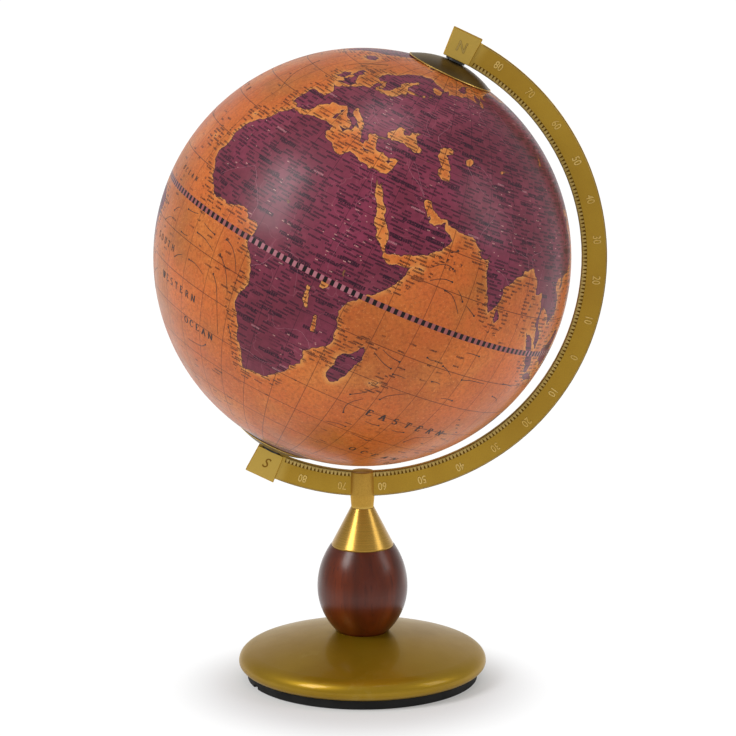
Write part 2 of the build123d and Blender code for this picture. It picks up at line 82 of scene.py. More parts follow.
# -------- the map's driving sizes, in degrees
LON_FACING = 39.7  # the meridian that faces the front
LON_FIRST = -169.0  # the map is cut here, in the Bering Strait
LON_LAST = LON_FIRST + 360
LAT_RIM = 87.67  # the hole round each pole
RIM_MARGIN = 0.01
MM_PER_DEGREE = BALL_RADIUS / MM * DEGREE
COAST_STEP = 0.42  # between the points of a finished coast
COAST_ROUGHNESS = 0.15  # a midpoint's greatest shift, as a share of its side
COAST_CLEARANCE = 0.3 * DEGREE  # no other point comes nearer to a coast
ROW_STEP = 1.7  # between the points away from the coasts
FEWEST_COLUMNS = 36
FRINGE = 0.5  # from a coast to the row of points on each side of it
LONGEST_FRINGED = 3  # a longer side is the map's frame, not a coast
NARROWEST = 0.08  # the least that a degree of longitude shrinks to beside a pole
CARD_ROWS = 60

# -------- the print's sizes
CURRENT_LINE = 0.6 * MM
CURRENT_DOT = 1.5 * MM
RIVER_LINE = 0.28 * MM
RIVER_WANDER = 0.16  # degrees
LETTER_MIDDLE = (0.4, 0.5)  # of a letter's box
THIN_PEN, THICK_PEN = 0.11, 0.26  # of a letter's height

# -------- the scale's sizes
ARC_END_LATITUDE = 85.6  # the scale stops short of the end blocks
ARC_STEPS = 172
RIDGE = 0.28 * MM
CAPITAL_SHARE = 0.7  # a capital's part of the built-in font's size
FACE_LIFT = 0.03 * MM
FIGURE_LIFT = 0.22 * MM
FIGURE_LINE = 0.13 * MM
FIGURE_BOLDNESS = 0.11 * MM
NUMBER_HEIGHT = 5.6 * MM
NUMBER_SQUEEZE = 0.8
NUMBER_RADIUS = ARC_OUTSIDE - 7.2 * MM
LETTER_HEIGHT = 7.4 * MM
LETTER_SQUEEZE = 0.9
LETTER_RADIUS = (ARC_INSIDE + ARC_OUTSIDE) / 2 + 0.5 * MM
# (distance from the arc's inner edge, width) along one tooth, in millimetres
TOOTH = ((0.7, 2.45), (1.6, 2.35), (2.3, 1.6), (3.3, 1.45), (3.6, 1.1), (3.75, 0.6))
LIP = 0.35 * MM
LIP_STEPS = 6
CAP_STEPS = 120

# -------- the map: longitude,latitude in degrees
OLD_WORLD = """
-5.9,35.7 -6.9,34 -9.2,32.5 -9.8,30.5 -11.5,28.3 -13.2,27.6 -14.8,25.7 -16.1,23.5 -17.1,20.9 -16.2,19.2
-16.5,16.2 -17.5,14.7 -16.7,13.3 -16.5,12.2 -14.9,10.9 -13.5,9.4 -13.1,8.2 -11.3,6.7 -9.1,5.1 -7.5,4.4
-5.5,5.1 -3.9,5.2 -2.1,4.7 -0.1,5.5 1.2,6.1 2.8,6.4 4.5,6.3 5.4,5.2 6.1,4.3 7.5,4.5 8.7,4.6 9.6,3.9
9.7,2.4 9.4,1 9.4,0.2 8.8,-0.8 9.9,-2.7 11.3,-4.1 12.2,-5.9 13.2,-8.4 13.9,-10.6 13.4,-12.6 12.4,-13.9
11.8,-16 11.9,-18.1 13.3,-20.7 14.4,-22.7 14.6,-25 15.3,-27.2 16.6,-28.8 17.5,-30.8 18.3,-32.3 18,-33.1
18.5,-34.3 20,-34.8 22.4,-34 25.5,-34 27.5,-33.2 29.6,-31.4 31.2,-29.7 32.4,-28.4 32.9,-26.2 35.4,-24.4
35.5,-22.2 34.8,-20.1 36.5,-18.7 38.9,-16.9 40.7,-15.1 40.6,-12.8 40.5,-10.5 39.4,-8.2 39.4,-6.8
38.8,-5.9 39.6,-4.2 40.6,-2.4 42.3,-0.6 44.3,1.3 46.6,3.1 48.4,5.2 49.6,7.4 50.9,9.6 51.3,11.9 49.2,11.3
46.8,10.8 44.8,10.4 43.2,11.4 43,12.5 41.5,14.2 39.5,15.3 38.4,17.8 37.2,19.2 36.9,21.3 35.4,23.8 34,26
33.1,28 32.4,29.7 33.2,28.9 34.2,27.9 34.9,29.3 34.8,28 36.6,26 37.4,24.4 38.8,23.2 39.2,21.2 41,19.4
42.5,17.2 42.9,15.4 43.5,12.8 45,12.9 47.6,13.5 49.2,14.6 52.2,15.6 55.2,17.5 57.7,19 58.7,20.6
59.8,22.4 58.6,23.6 56.5,24.7 56.2,26.2 54.9,25.1 53.4,24.1 51.6,24.3 51.6,25.6 51.1,26.1 50.5,25.3
50,26.6 48.8,27.9 48,29.4 48.7,30.2 50.1,30.1 50.9,28.8 52.6,27.6 54.6,26.6 56.3,27.1 57.3,25.9
61.5,25.2 64.3,25.3 66.8,24.9 67.6,23.8 70.3,22.9 69,22.3 70.2,20.9 72.2,21.2 72.5,22.2 72.8,20.6
72.9,18.8 73.4,16.8 74.2,14.8 74.9,12.8 76.2,10.1 77.5,8.1 78.3,9 79.2,10.2 79.9,11.7 80.3,13.2
80.1,15.2 81.4,16.3 83.3,17.7 85.2,19.5 86.8,20.4 87.1,21.4 88.9,21.7 91.2,22.7 92.3,20.8 94,19 94.4,16
96,16.1 97.4,17 97.8,14.4 98.7,12 98.4,9.8 98.3,8.1 99.8,6.6 100.5,5.3 101.3,2.9 103.6,1.4 103.5,4
102.4,6.2 100.6,7.2 99.6,9.3 99.3,11.3 100,13.2 101,12.8 102.6,12 104.6,10.4 105.1,8.8 106.9,9.9
109.1,11.6 109.2,13.5 108.2,16 106.3,18.2 105.9,19.6 107.4,21.2 109.7,21.5 110.1,20.4 110.8,21.3
114.2,22.4 116.8,23.3 118.7,24.7 119.8,26.3 121.6,28.5 122,30.2 120.9,32.6 119.3,34.9 120.6,36.2
122.5,37.1 119.3,37.3 117.9,38.7 121,40.8 121.5,39 124.2,39.8 125.1,38.3 126.6,37.2 126.4,34.6
129.2,35.4 128.5,38.3 127.6,39.7 129.8,41.6 132.2,43.2 135.6,44.6 139,47.8 140.6,50.5 141.2,53
138.6,53.9 135.3,54.8 138.4,57.2 142.4,59.2 148.8,59.4 155.1,59.4 160.2,61.8 163.3,62.5 161.5,60.2
157,57.8 155.6,55 156.7,51.1 160,54.6 163,56.8 164.5,59.8 170.3,60 174.5,61.8 179.3,62.4 180,65
186.8,64.4 190.2,66 185.2,67.2 180,68.9 170.6,69.4 161.5,69.4 159.8,70.5 152,70.8 140,72.4 131.5,71.2
128,72.8 113.5,73.6 112.5,75.8 104.3,77.6 99,76.4 87,75.1 80.6,73.4 80.8,71.6 75,72.7 73.4,71.2
73.8,68.6 71,67.2 72.4,71.2 69.4,72.9 66.8,70.8 68.6,68.4 60.6,69.7 54,68.4 46.5,67.5 44,66.1 43.6,68.5
40,66.2 40.2,64.6 37,64.1 34.6,65 33,66.8 40.8,66.6 40.6,67.8 36,69.1 31,70.2 27,71 20,70 15.5,68.3
12.5,66 10,63.8 5.6,62.2 5,60.4 5.8,58.6 8.3,58.1 10.6,59.3 11.6,57.9 12.8,55.5 14.3,55.5 16.2,56.4
16.8,58.4 18.9,59.8 17.2,61 18,62.6 21.3,64.2 22.4,65.7 24.8,65.6 22.2,63.3 21.3,61.4 22.8,60 26,60.3
30,60 27.2,59.4 23.6,59.1 24.2,57.2 22,57.5 21,55.6 19.3,54.5 16.5,54.4 14,53.9 11,54.1 9.8,55.2
10.6,57.5 8.3,56.9 8.2,55.2 8.7,53.9 6.6,53.4 4.6,52.6 3.3,51.4 1.6,50.8 0.2,49.6 -1.4,49.6 -1.6,48.7
-4.7,48.4 -2.6,47.4 -1.2,45.8 -1.5,43.5 -4.5,43.5 -8,43.7 -9.2,42.9 -8.7,41 -9.4,38.8 -8.8,37.1
-6.9,37.2 -5.7,36.2 -4.4,36.7 -2.1,36.8 -0.6,37.8 0.1,38.8 -0.2,39.8 1.5,41.2 3.2,42 3.1,43.1 4.8,43.4
7.2,43.6 8.9,44.4 10.3,43.5 11.4,42.3 13,41.2 14.6,40.6 15.8,39.9 16,38.2 16.6,38.4 17.1,39.3 16.8,40.4
18.4,39.9 17.2,41 15.9,41.9 14,42.6 12.5,44.2 12.5,45.4 13.6,45.6 13.8,44.9 15.2,44.3 18.4,42.4
19.5,41.2 20,39.7 21.3,37.9 22,36.7 23.2,36.5 23,37.6 24,37.8 22.9,39.2 22.8,40.4 24,40.3 24.3,40.9
26.3,40.6 28.9,41 29.2,40.7 26.3,39.9 26.8,38.5 27.4,37 29,36.4 30.6,36.8 32.6,36 34.6,36.7 36.1,36.7
35.8,35.2 35.4,33.6 34.5,31.5 32.4,31.2 30.4,31.5 29,30.9 25.2,31.6 23,32.5 21.2,32.8 20,31.5 19.2,30.3
16.2,31.3 14.6,32.5 11.2,33.3 10.3,34.4 11,35.5 10.8,36.9 8.5,37 5,36.8 0.6,36.1 -2,35.1 -4.6,35.2"""

AMERICAS = """
-168.1,65.6 -162,66.4 -166.2,68.4 -156.6,71.3 -141,69.6 -128.5,70 -115,68.3 -98,67.8 -95,71.8 -91.5,69.5
-86.5,67.4 -81.6,69.4 -82,66.6 -87.5,64.5 -94,61 -94.5,58.6 -88.5,56.6 -82.3,55.1 -82,52.8 -79.6,51.3
-79,54.4 -76.8,57 -78.2,59.2 -77.6,62.4 -71.5,61.6 -69.6,59 -66,58.8 -64.8,60.3 -61.6,56.6 -57.3,54.5
-56,52 -60,50.2 -66.5,50.2 -69,48.4 -64.6,49 -64.8,46.8 -60.6,46.2 -63.5,44.6 -66,43.6 -66.8,44.9
-70.2,43.6 -70.1,41.7 -73.9,40.6 -75.4,38.4 -76,36.9 -75.6,35.3 -78.5,33.8 -81.2,31.7 -80.1,26.9
-80.6,25.2 -82,26.6 -82.7,28.4 -84.4,30 -88,30.3 -89.6,29.1 -93.8,29.7 -97.3,27.7 -97.7,22.4 -96.2,19.2
-94.5,18.2 -91.8,18.6 -90.4,20.9 -87,21.5 -88,18.6 -88.6,15.9 -83.3,15 -83.7,11.3 -82,9 -79.6,9.5
-77,8.2 -75.5,10.6 -71.8,12.3 -71.4,11 -68,11 -64.5,10.2 -61.9,10.7 -60.2,8.4 -57,6 -51.6,4.3 -50,1
-47.8,-0.7 -44.2,-2.6 -38.6,-3.7 -35.3,-5.2 -34.8,-7.6 -37,-11 -39,-14 -39.7,-19.6 -41.4,-22.3
-46.3,-24.1 -48.7,-27.2 -50.4,-30.6 -53.6,-33.8 -58.3,-34 -56.8,-36.5 -58.2,-38.4 -62.2,-39 -65,-41
-64.2,-42.8 -67.4,-45.8 -65.8,-47.9 -69,-50.6 -68.4,-52.4 -65.3,-54.8 -70,-55.2 -74.6,-51.4 -75.4,-47.5
-73.2,-42.4 -73.5,-38.5 -71.6,-33 -70.6,-26.5 -70.3,-18.4 -76.2,-14 -79.8,-7.2 -81.2,-4.4 -80,-2.6
-80.2,0.6 -77.4,3.8 -77.7,7 -80.3,7.5 -83.6,8.8 -85.7,10.2 -87.8,13 -94,16.1 -101.5,17.8 -105.5,20.4
-108.8,25.4 -112.6,29.6 -114.8,31.6 -112.4,27.4 -109.6,23 -112.2,25.2 -115,28.6 -117.2,32.6 -120.6,34.7
-122.4,37.4 -124.3,40.4 -124,46 -123,49 -127.6,51.6 -130.4,54.6 -134.6,58.6 -139.6,59.8 -147,60.8
-152,59.4 -158.5,56 -164.7,54.6 -157.6,58.6 -162,59.2 -165.8,61.6 -161,64 -166.2,64.6"""

ISLANDS = """
-73,78 -62,81.4 -32,83.4 -17,80 -19.5,75 -23.5,71 -32,68 -39,65.5 -43.5,59.9 -49.5,62 -53.6,67.5
-51,69.8 -56,73 -68.5,76.2 | -62,66.6 -68,70.2 -80,73.4 -89,73.4 -85,70.6 -73.5,68 -73,64.6 -65.5,62.2
-66.5,64.8 | -90,80.5 -85,82.2 -62,82.6 -75,79 -80,76.4 -89,76.6 | -105.5,69.2 -106,72.8 -117,73
-116.5,69.5 | -124.5,72.2 -121,74.4 -116.5,73.2 -121,71.5 | -59.3,47.7 -57.5,50.6 -55.6,51.4 -53.2,48.4
-53.2,46.8 -56,47 | -84.9,21.9 -82.5,23.1 -77.5,22 -74.2,20.2 -77.6,19.9 -82,22.5 | -74.4,18.4 -73,19.9
-68.4,18.7 -71.5,17.8 | -24.2,65.4 -22.2,66.4 -16,66.5 -13.7,65 -18.8,63.4 -22.6,63.9 | -5.6,50.1
-3.4,51.3 -5.2,51.9 -4.4,53.2 -3,53.5 -3.3,54.9 -5,54.8 -5.6,56.4 -6,57.6 -5,58.6 -3.1,58.6 -4,57.6
-1.9,57.5 -3,56 -1.4,54.7 0.2,53.1 1.7,52.6 0.8,51.5 1.3,51.2 -1.2,50.7 -3.6,50.3 | -6,54.4 -6.4,52.2
-9.8,51.6 -9.2,53.2 -10,54.2 -7.2,55.3 | 11,79.4 22,80 21,78.6 17,76.7 13.5,78 | 51.8,71.6 55.5,74.4
68.5,76.8 60,74.4 57.4,70.8 | 138,75.5 150.5,75.2 143,73.6 | 12.5,38 15.6,38.2 15.1,36.8 | 8.4,39
8.5,40.8 9.5,41.1 9.6,39.2 | 8.6,42.1 9.4,42.9 9.3,41.5 | 23.7,35.5 26.2,35.2 24.6,34.9 | 32.4,34.9
34.4,35.6 33.3,34.6 | 11,55.7 12.4,56 11.9,55.1 | 49.3,-12 50,-14.2 50.4,-15.6 49.5,-17.6 48.6,-20.4
47.3,-24.4 45.3,-25.6 43.8,-24.6 43.4,-22.4 44.4,-20.2 44,-17.6 45.2,-16 47,-15.2 48.3,-13.4 | 80,9.7
81.3,8.5 81.8,7.2 80.8,6 79.9,6.8 79.8,8.4 | 53.3,12.6 54.4,12.6 53.8,12.3 | 95.3,5.6 97.5,5.1 100.4,2.6
103.5,-0.6 106,-3 105.8,-5.8 104,-5.4 101.4,-2.6 99,0.8 97,3 | 105.3,-6.8 106.7,-6 110.8,-6.4 114.5,-7.8
114.3,-8.6 110,-8 106.4,-7.4 | 109,1.5 111.4,2.5 113.7,4.1 116.8,7 119.2,5.3 117.8,1.6 116.4,-3.6
114.4,-4 110.2,-1.8 | 119.5,-5.4 119.2,-2.6 119.8,0.2 121,1.2 125,1.6 123.2,0.4 120.6,0.4 120.4,-0.9
123.2,-0.9 121.6,-1.9 122.6,-4.4 121,-2.9 120.4,-5.4 | 131,-0.8 134,-0.8 135,-3.2 137.8,-1.6 141,-2.6
145.8,-5.2 150.8,-10.3 147,-9.3 144,-7.8 142.8,-9.2 138.8,-8.2 137.8,-5.2 133.5,-4 | 120.4,16 120.7,18.5
122.2,18.4 121.6,15.9 124,12.8 120.7,13.8 | 122,7 123.5,8.6 125.5,9.7 126.5,7.3 125,5.9 | 122.2,10.4
123.2,11.5 125.2,12.3 124.8,10.3 | 120.2,22.9 121.8,25.1 120.9,22 | 108.8,19.2 110.9,20 109.6,18.3 |
130,33.3 133,35.5 136,35.7 137,37.4 138.9,37.9 140,39.7 140.4,41.2 141.5,41.4 142,39.5 140.6,36
138.6,34.7 135.8,33.6 132.6,33 130.9,31.2 129.9,32.4 | 140.1,42.4 141.7,45.4 145.2,43.5 143.2,42.1 |
142,46.1 142.2,53.4 143.3,52.5 143.6,49 143.4,46.6 | 113.7,-22.2 114.2,-26.2 115.7,-31.8 115.1,-34.3
118,-35 123.8,-33.9 126,-32.3 131.2,-31.5 135.6,-34.8 137.8,-32.7 138.1,-35.6 140.5,-38 143.6,-38.8
146.4,-39.1 150,-37.4 151.3,-33.5 153.5,-28.5 153,-25.2 149.6,-22.4 146.3,-18.8 145.3,-15.3 142.6,-10.9
141.4,-14 140.9,-17.4 139,-17.4 135.6,-15.1 136.8,-12.2 132.6,-11.4 130.4,-12.8 129,-14.9 126.2,-14
122.4,-17.2 118.8,-20.3 | 144.7,-40.8 148.3,-40.9 147.9,-43.1 146,-43.5 | 172.8,-34.5 175.4,-36.6
178.4,-37.7 175.4,-41.6 173.9,-39.4 174.7,-37.6 | 172.7,-40.6 174.2,-41.7 170.7,-45.9 168.4,-46.6
166.6,-45.8 | -155.9,20.2 -154.9,19.6 -155.8,19 | -17.2,28.2 -16.2,28.5 -16.6,28 | -25.2,17.2 -24.2,17.2
-24.8,16.8 | 57.4,-20.1 57.8,-20.3 57.4,-20.5 | 55.3,-20.9 55.8,-21.2 55.4,-21.4 | 92.7,13.4 93,12.6
92.6,11.7 | -61,-51.4 -58,-51.6 -60.4,-52.2 | 124,-10.2 127,-8.5 125,-8.8 | -78.2,18.4 -76.4,18.1
-77.4,17.8 | 128,-3.1 130.6,-3.3 128.6,-3.5 | -67,18.5 -65.7,18.4 -66.6,18 | 152,-5.4 149,-5.6
150.6,-6.2 | 164.2,-20.2 166.8,-22.2 165.4,-21.8"""

INLAND_SEAS = """
28.9,41.4 28,42.6 28.7,43.9 30.2,45.6 31.2,46.5 33.2,46 32.8,45.3 33.8,44.5 35.4,45.1 35,46 37.5,47
39,47.1 37.6,45.6 38.6,44.4 41.4,42.6 41.3,41.4 38.5,41 36.2,41.5 34.8,42 32.6,41.9 31.2,41.2 |
47.6,45.6 49.2,46.4 51.4,47 53,46.6 52.9,45.3 50.4,44.4 51.6,43.2 52.8,41.8 52.8,39.8 53.8,38.8 53.9,37
51.4,36.8 49.3,37.6 48.9,39.2 50,40.4 48.4,41.9 47.5,43.4 | 58.5,44 58.5,45.6 60,46.5 61.6,46.2
61.1,44.8 59.8,43.8 | 73.6,45.8 76,46.7 79.1,46.7 76.4,46.2 74.5,45.2 | 103.8,51.6 106.2,53 109.2,55.7
109.7,55.2 108,53 105.4,51.7 | 30.9,60.1 31,61.4 32.8,60.9 32.2,60.1 | 34.6,61.2 35,62.6 35.9,61.8 |
31.7,-0.4 32.8,0.4 34.2,0.2 33.8,-1.6 33,-2.5 31.8,-2.5 | 28.9,-3.2 29.1,-6 30.2,-8.8 31.4,-8.8 30.5,-6
29.8,-3.3 | 33.7,-9.5 34,-12.3 34.6,-14.4 35.6,-14 35,-11.3 34.6,-9.6 | 35.9,4.5 36.1,2.9 36.6,2.6
36.3,4 | 13.3,13.6 14.6,13.4 14.2,12.7 | 44.4,40.2 45.3,40.5 45,40.1 | -92,46.7 -88.5,48.7 -84.8,46.6
-87.5,46.6 | -87.7,42 -87.3,44.8 -85.2,45.8 -86.3,43.6 -87,41.8 | -84.4,46 -81,45.8 -81.8,43.4
-83.3,44.4 | -83.2,41.8 -79.2,42.8 -81.6,41.6 | -79.6,43.4 -76.4,43.9 -76.8,43.4 | -98.4,53.6 -97.6,52
-96.8,50.6 -97.8,51.6 | -124.5,66 -119.5,66.8 -120,65.2 | -116.5,61.2 -110,62.4 -113,61.2"""

ANTARCTICA = """
-169,-78.2 -150,-77 -135,-74.5 -115,-74 -100,-72.8 -78,-73 -69,-70.5 -67,-67.2 -60.5,-64 -57.5,-63.4
-61.5,-67 -61,-73 -50,-77.4 -36,-77.8 -25,-75.8 -14,-72.4 0,-70.4 15,-70 35,-69.4 50,-66.6 68,-68.6
76,-69.2 90,-66.8 110,-66.3 130,-66.2 146,-67.2 160,-69.8 170,-71.8 164,-77.2 178,-78 191,-78.2 191,-89
-169,-89"""

# Each river runs from its mouth.
RIVERS = """
31.1,31.2 31.2,29 32.8,26 32.9,24 31,21.6 31.5,19.6 33.6,18.2 32.5,15.6 32,11 31.6,5.5 32,1.5 | 6.4,4.8
6.6,8 4.6,11 2,13.6 -1,16.6 -4.6,14.6 -8,12.4 -10.6,10 | 12.6,-6 15.2,-4.2 17.4,-0.6 20,2 24,1.4
25.4,-2.4 26.8,-8 | 36.2,-18.6 32.6,-15.6 28.4,-16.6 25.2,-17.8 23.2,-14.4 | 16.8,-28.6 20,-28.6
24,-29.4 28,-28.6 | 48,46 45.6,48.8 48.6,53.4 49,55.8 43.8,56.4 38,57.8 33.4,57 | 29.4,45.2 27.4,44.2
22.6,44.6 19,46.8 16.6,48.2 10.6,48.6 | 37.6,55.6 41,54.8 43.8,56.2 | 39.4,47.4 42.4,47.8 39.6,50.2
39,53.4 | 32.4,46.6 35,48.4 31,50.6 31.6,54.8 | 47.8,30.4 44.4,33.2 40.4,35.4 39,38.6 | 47.4,31
45.8,32.6 43,36.4 40.6,38.2 | 67.6,24.2 68.6,27.6 71.4,31.6 72.6,34.4 77,34.2 80.6,31.4 | 88.6,22.2
87.6,24.8 82.6,25.6 79.6,28 78.2,30 | 90.6,23.2 89.8,25.6 94.6,27.8 92,29.4 86,29.4 | 82,16.6 79,18.6
75,19.8 | 95.4,16.2 95,20 97,25.4 | 106.4,10 105.2,13.6 104.2,17.6 101,20.6 99,26 | 121.6,31.4 117,30.8
112,30 106.6,29.4 102,27 98,32 | 118.6,37.6 114,35 110.6,36 110.6,40 106.4,38.8 101,35.4 | 140.6,53
135,48.6 127.4,50 121,53.2 | 72.8,66.6 66.6,64 69,60.6 74,59 82,55.6 84,52.6 | 82.6,70.8 86.6,66.4
90,60.6 93,55.8 | 126.6,72.2 123.6,67 129.6,62.6 119.6,59.8 107.6,55.6 | 61.6,44.8 66,44.6 70,41.4 |
59.4,43.8 63.6,39.6 69,37.2 | -50.6,-0.4 -55,-2.2 -60,-3.4 -67,-3 -73.4,-4.2 | -58.4,-33.8 -59,-28
-54.4,-24 -50,-20 | -89.8,29.4 -91.2,33 -89.6,36.8 -91,42 -94.4,46.8 | -90.2,38.8 -96,41.2 -101.6,46.8
-110,47.8 | -134.6,68.8 -128,65 -121.6,62 | -164.6,62.8 -156,64.8 -145,66.2 -136.6,62.6 | -62,8.6
-66.6,7.6 -67.6,4"""

# Each current runs to its dot, the last point.
CURRENTS = """
-0.6,-8.1 -2.6,-7.3 -5.1,-6.6 -8.5,-6.4 | 9.2,-9.9 7.4,-6.7 5,-4.3 2.5,-3.5 | 8.6,-16.8 6.9,-12.7
4.9,-9.9 2.3,-7.8 | 8,-29.1 5.8,-20.4 4.2,-16 2.1,-13.6 | -1.8,-15.4 -3.7,-14.6 -6.1,-14.1 -8.8,-14.2 |
-12.5,-14.3 -14.8,-15.3 -16.2,-16.3 | -6.9,-37.1 -2.8,-36.8 0.6,-36.3 2.7,-34.9 | 13.1,-28.3 12.4,-26.4
11.4,-25 | 60.3,19.4 61.5,20 62.3,20.6 | 56.2,13.8 58.9,15.7 61.1,16.1 62.5,15.7 | 57.5,10.7 59.3,11.8
61.4,12.5 63.6,12.5 | 66.1,11.1 67.4,10 68.5,8.7 | 70.1,8 71.5,7.3 73.5,6.2 | 68.6,5.4 66.5,7.9 64.6,9.4
62.5,9.8 | 56.8,-26.5 54.4,-28.9 53.5,-31.3 54.2,-33.6 | 58.1,-21.6 55.5,-24.7 52.6,-26.8 | 67,-20.2
62.7,-22.7 61.1,-24.8 | 63.9,-16 61.6,-15.9 60,-16.1 | 52.1,-12.1 54.2,-13.3 56.8,-14.4 58.6,-14.8 |
54,-10.7 56.8,-11.7 59.8,-12.1 | 68.9,-8.4 67.4,-8.6 66.2,-8.3 | 62.2,-33.8 64.6,-34 67.1,-33.7 |
72.1,-33.7 74.3,-33.8 76.8,-33.3 | 51.2,-39.5 55.4,-38.5 58.1,-38.5 | 61.6,-40.5 64.9,-40.7 68.7,-41.2 |
88.8,-32.5 83.2,-34.2 81.3,-37.2 | 74.3,-14.3 73,-14.1 71.5,-14.3 | 75.8,-11 73.5,-9.7 71.8,-9.1 |
88.8,-10.8 83.7,-10.8 80,-11.3 | 76.6,-3.6 78.7,-3.5 81.1,-3.6 | 77.7,-18.3 79.8,-18 82,-18.1 |
103.5,-10.6 100,-10 97.2,-9.9 | 101.5,-16.4 99.4,-14.8 96.4,-14.2 | -11.1,-2.1 -13.5,-2.6 -16.2,-2.8 |
-20.8,-4 -22.4,-4.6 -23.6,-5.8 | -7.3,-3.1 -4.6,-3.8 -2,-4.1 | -24,-7.8 -26.2,-8.6 -28.2,-9.8 |
-12.1,-8.9 -14,-9.2 -15.8,-9.1 | -20,38 -26,44 -30,52 | -16,56 -12,61 -4,66 | -40,20 -52,22 -62,20 |
-30,-24 -36,-27 -40,-32 | 160,30 172,34 184,34 | 172,8 160,10 148,9 | -120,-10 -134,-12 -148,-10 |
-100,-30 -92,-22 -88,-12 | 110,-44 124,-42 138,-44 | -150,44 -138,46 -130,40 | 156,-24 160,-32 157,-38 |
-110,12 -122,14 -134,12"""

# (word, first letter's longitude, last letter's longitude, latitude, letter height in millimetres)
WORDS = (
    ("SOUTH", -30.4, -18.3, -14.6, 4.4),
    ("WESTERN", -22.5, -4.1, -23.5, 4.8),
    ("OCEAN", -7.2, 4.8, -31.2, 4.8),
    ("OCEAN", -30.1, -19.3, 5.0, 3.2),
    ("EASTERN", 61.4, 89.8, -30.3, 5.6),
    ("OCEAN", 68.6, 92.0, -47.6, 5.0),
    ("EAST", 58.0, 64.6, 17.2, 1.9),
    ("SEA", 60.2, 63.2, 15.4, 1.9),
    ("NORTH", -60.0, -36.0, 32.0, 3.8),
    ("OCEAN", -150.0, -122.0, 24.0, 4.6),
    ("OCEAN", -140.0, -110.0, -28.0, 4.6),
    ("WEST", 150.0, 176.0, 18.0, 4.6),
    ("OCEAN", 96.0, 118.0, -52.0, 4.2),
)


def points_of(text):
    """The (longitude, latitude) pairs of one outline."""
    return [tuple(float(n) for n in pair.split(",")) for pair in text.split()]


def outlines(text):
    return [points_of(part) for part in text.split("|")]


def pairs_round(ring):
    """Each item of a closed ring with the one after it."""
    return zip(ring, ring[1:] + ring[:1])


def squeeze_at(lat):
    """A degree of longitude's length there, in degrees of latitude."""
    return max(math.cos(lat * DEGREE), NARROWEST)


# -------- coasts and map mesh


def roughen(ring, rng):
    """A closed outline with its sides broken up the way a coast is, by shifting midpoints sideways."""
    while True:
        rougher = []
        for (x0, y0), (x1, y1) in pairs_round(ring):
            rougher.append((x0, y0))
            squeeze = squeeze_at((y0 + y1) / 2)
            long_way = math.hypot((x1 - x0) * squeeze, y1 - y0)
            if long_way > COAST_STEP and min(y0, y1) > -LAT_RIM:
                shift = rng.uniform(-COAST_ROUGHNESS, COAST_ROUGHNESS)
                rougher.append((
                    (x0 + x1) / 2 - (y1 - y0) * shift / squeeze,
                    (y0 + y1) / 2 + (x1 - x0) * squeeze * shift,
                ))
        if len(rougher) == len(ring):
            return ring
        ring = rougher


def coastlines():
    rng = random.Random(11)
    rings = [points_of(OLD_WORLD), points_of(AMERICAS), points_of(ANTARCTICA)]
    rings += outlines(ISLANDS) + outlines(INLAND_SEAS)
    return [roughen(ring, rng) for ring in rings]


def globe_vector(lon, lat):
    """The direction from the ball's centre to a place on the map."""
    turn = (lon - LON_FACING) * DEGREE
    level = math.cos(lat * DEGREE)
    flat = EAST * (level * math.sin(turn)) + FRONT * (level * math.cos(turn))
    return flat + NORTH * math.sin(lat * DEGREE)


def globe_vectors(lonlat):
    """The same for an array of places."""
    turn = (lonlat[:, 0] - LON_FACING) * DEGREE
    lat = lonlat[:, 1] * DEGREE
    parts = (np.cos(lat) * np.sin(turn), np.cos(lat) * np.cos(turn), np.sin(lat))
    return sum(np.outer(part, np.array(axis)) for part, axis in zip(parts, (EAST, FRONT, NORTH)))


def coast_tree(rings):
    tree = kdtree.KDTree(sum(len(ring) for ring in rings))
    for number, (lon, lat) in enumerate(p for ring in rings for p in ring):
        tree.insert(globe_vector(lon, lat), number)
    tree.balance()
    return tree


def clear_of_coasts(tree, lon, lat):
    return tree.find(globe_vector(lon, lat))[2] > COAST_CLEARANCE


def row_points(tree):
    """Rows of points over the whole ball, which leave out the coasts."""
    points = []
    rows = int(2 * LAT_RIM / ROW_STEP)
    for row in range(rows + 1):
        lat = -LAT_RIM + 2 * LAT_RIM * row / rows
        columns = max(FEWEST_COLUMNS, int(360 * math.cos(lat * DEGREE) / ROW_STEP))
        for column in range(columns + 1):
            lon = LON_FIRST + 360 * column / columns
            on_edge = row in (0, rows) or column in (0, columns)
            if on_edge or clear_of_coasts(tree, lon, lat):
                points.append((lon, lat))
    return points


def fringe_points(rings, tree):
    """A finer row of points along each side of each coast."""
    points = []
    taken = set()
    for (x0, y0), (x1, y1) in (pair for ring in rings for pair in pairs_round(ring)):
        squeeze = squeeze_at(y0)
        length = math.hypot((x1 - x0) * squeeze, y1 - y0)
        if length < 1e-6 or length > LONGEST_FRINGED:
            continue
        for side in (-FRINGE, FRINGE):
            lon = x0 - (y1 - y0) / length * side / squeeze
            lat = y0 + (x1 - x0) * squeeze / length * side
            cell = (round(lon * squeeze / FRINGE), round(lat / FRINGE))
            inside = LON_FIRST + 1 < lon < LON_LAST - 1 and abs(lat) < LAT_RIM - 1
            if inside and cell not in taken and clear_of_coasts(tree, lon, lat):
                taken.add(cell)
                points.append((lon, lat))
    return points


def map_triangles(rings, tree):
    """Corner places and triangles of the flat map, with every coast kept as edges."""
    points = row_points(tree) + fringe_points(rings, tree)
    edges = []
    for ring in rings:
        start = len(points)
        points.extend(ring)
        edges.extend((start + i, start + (i + 1) % len(ring)) for i in range(len(ring)))
    flat = [Vector((lon, max(-LAT_RIM, lat))) for lon, lat in points]
    made = geometry.delaunay_2d_cdt(flat, edges, [], 0, 1e-5, False)
    return np.array([tuple(v) for v in made[0]]), np.array([tuple(f) for f in made[2] if len(f) == 3])


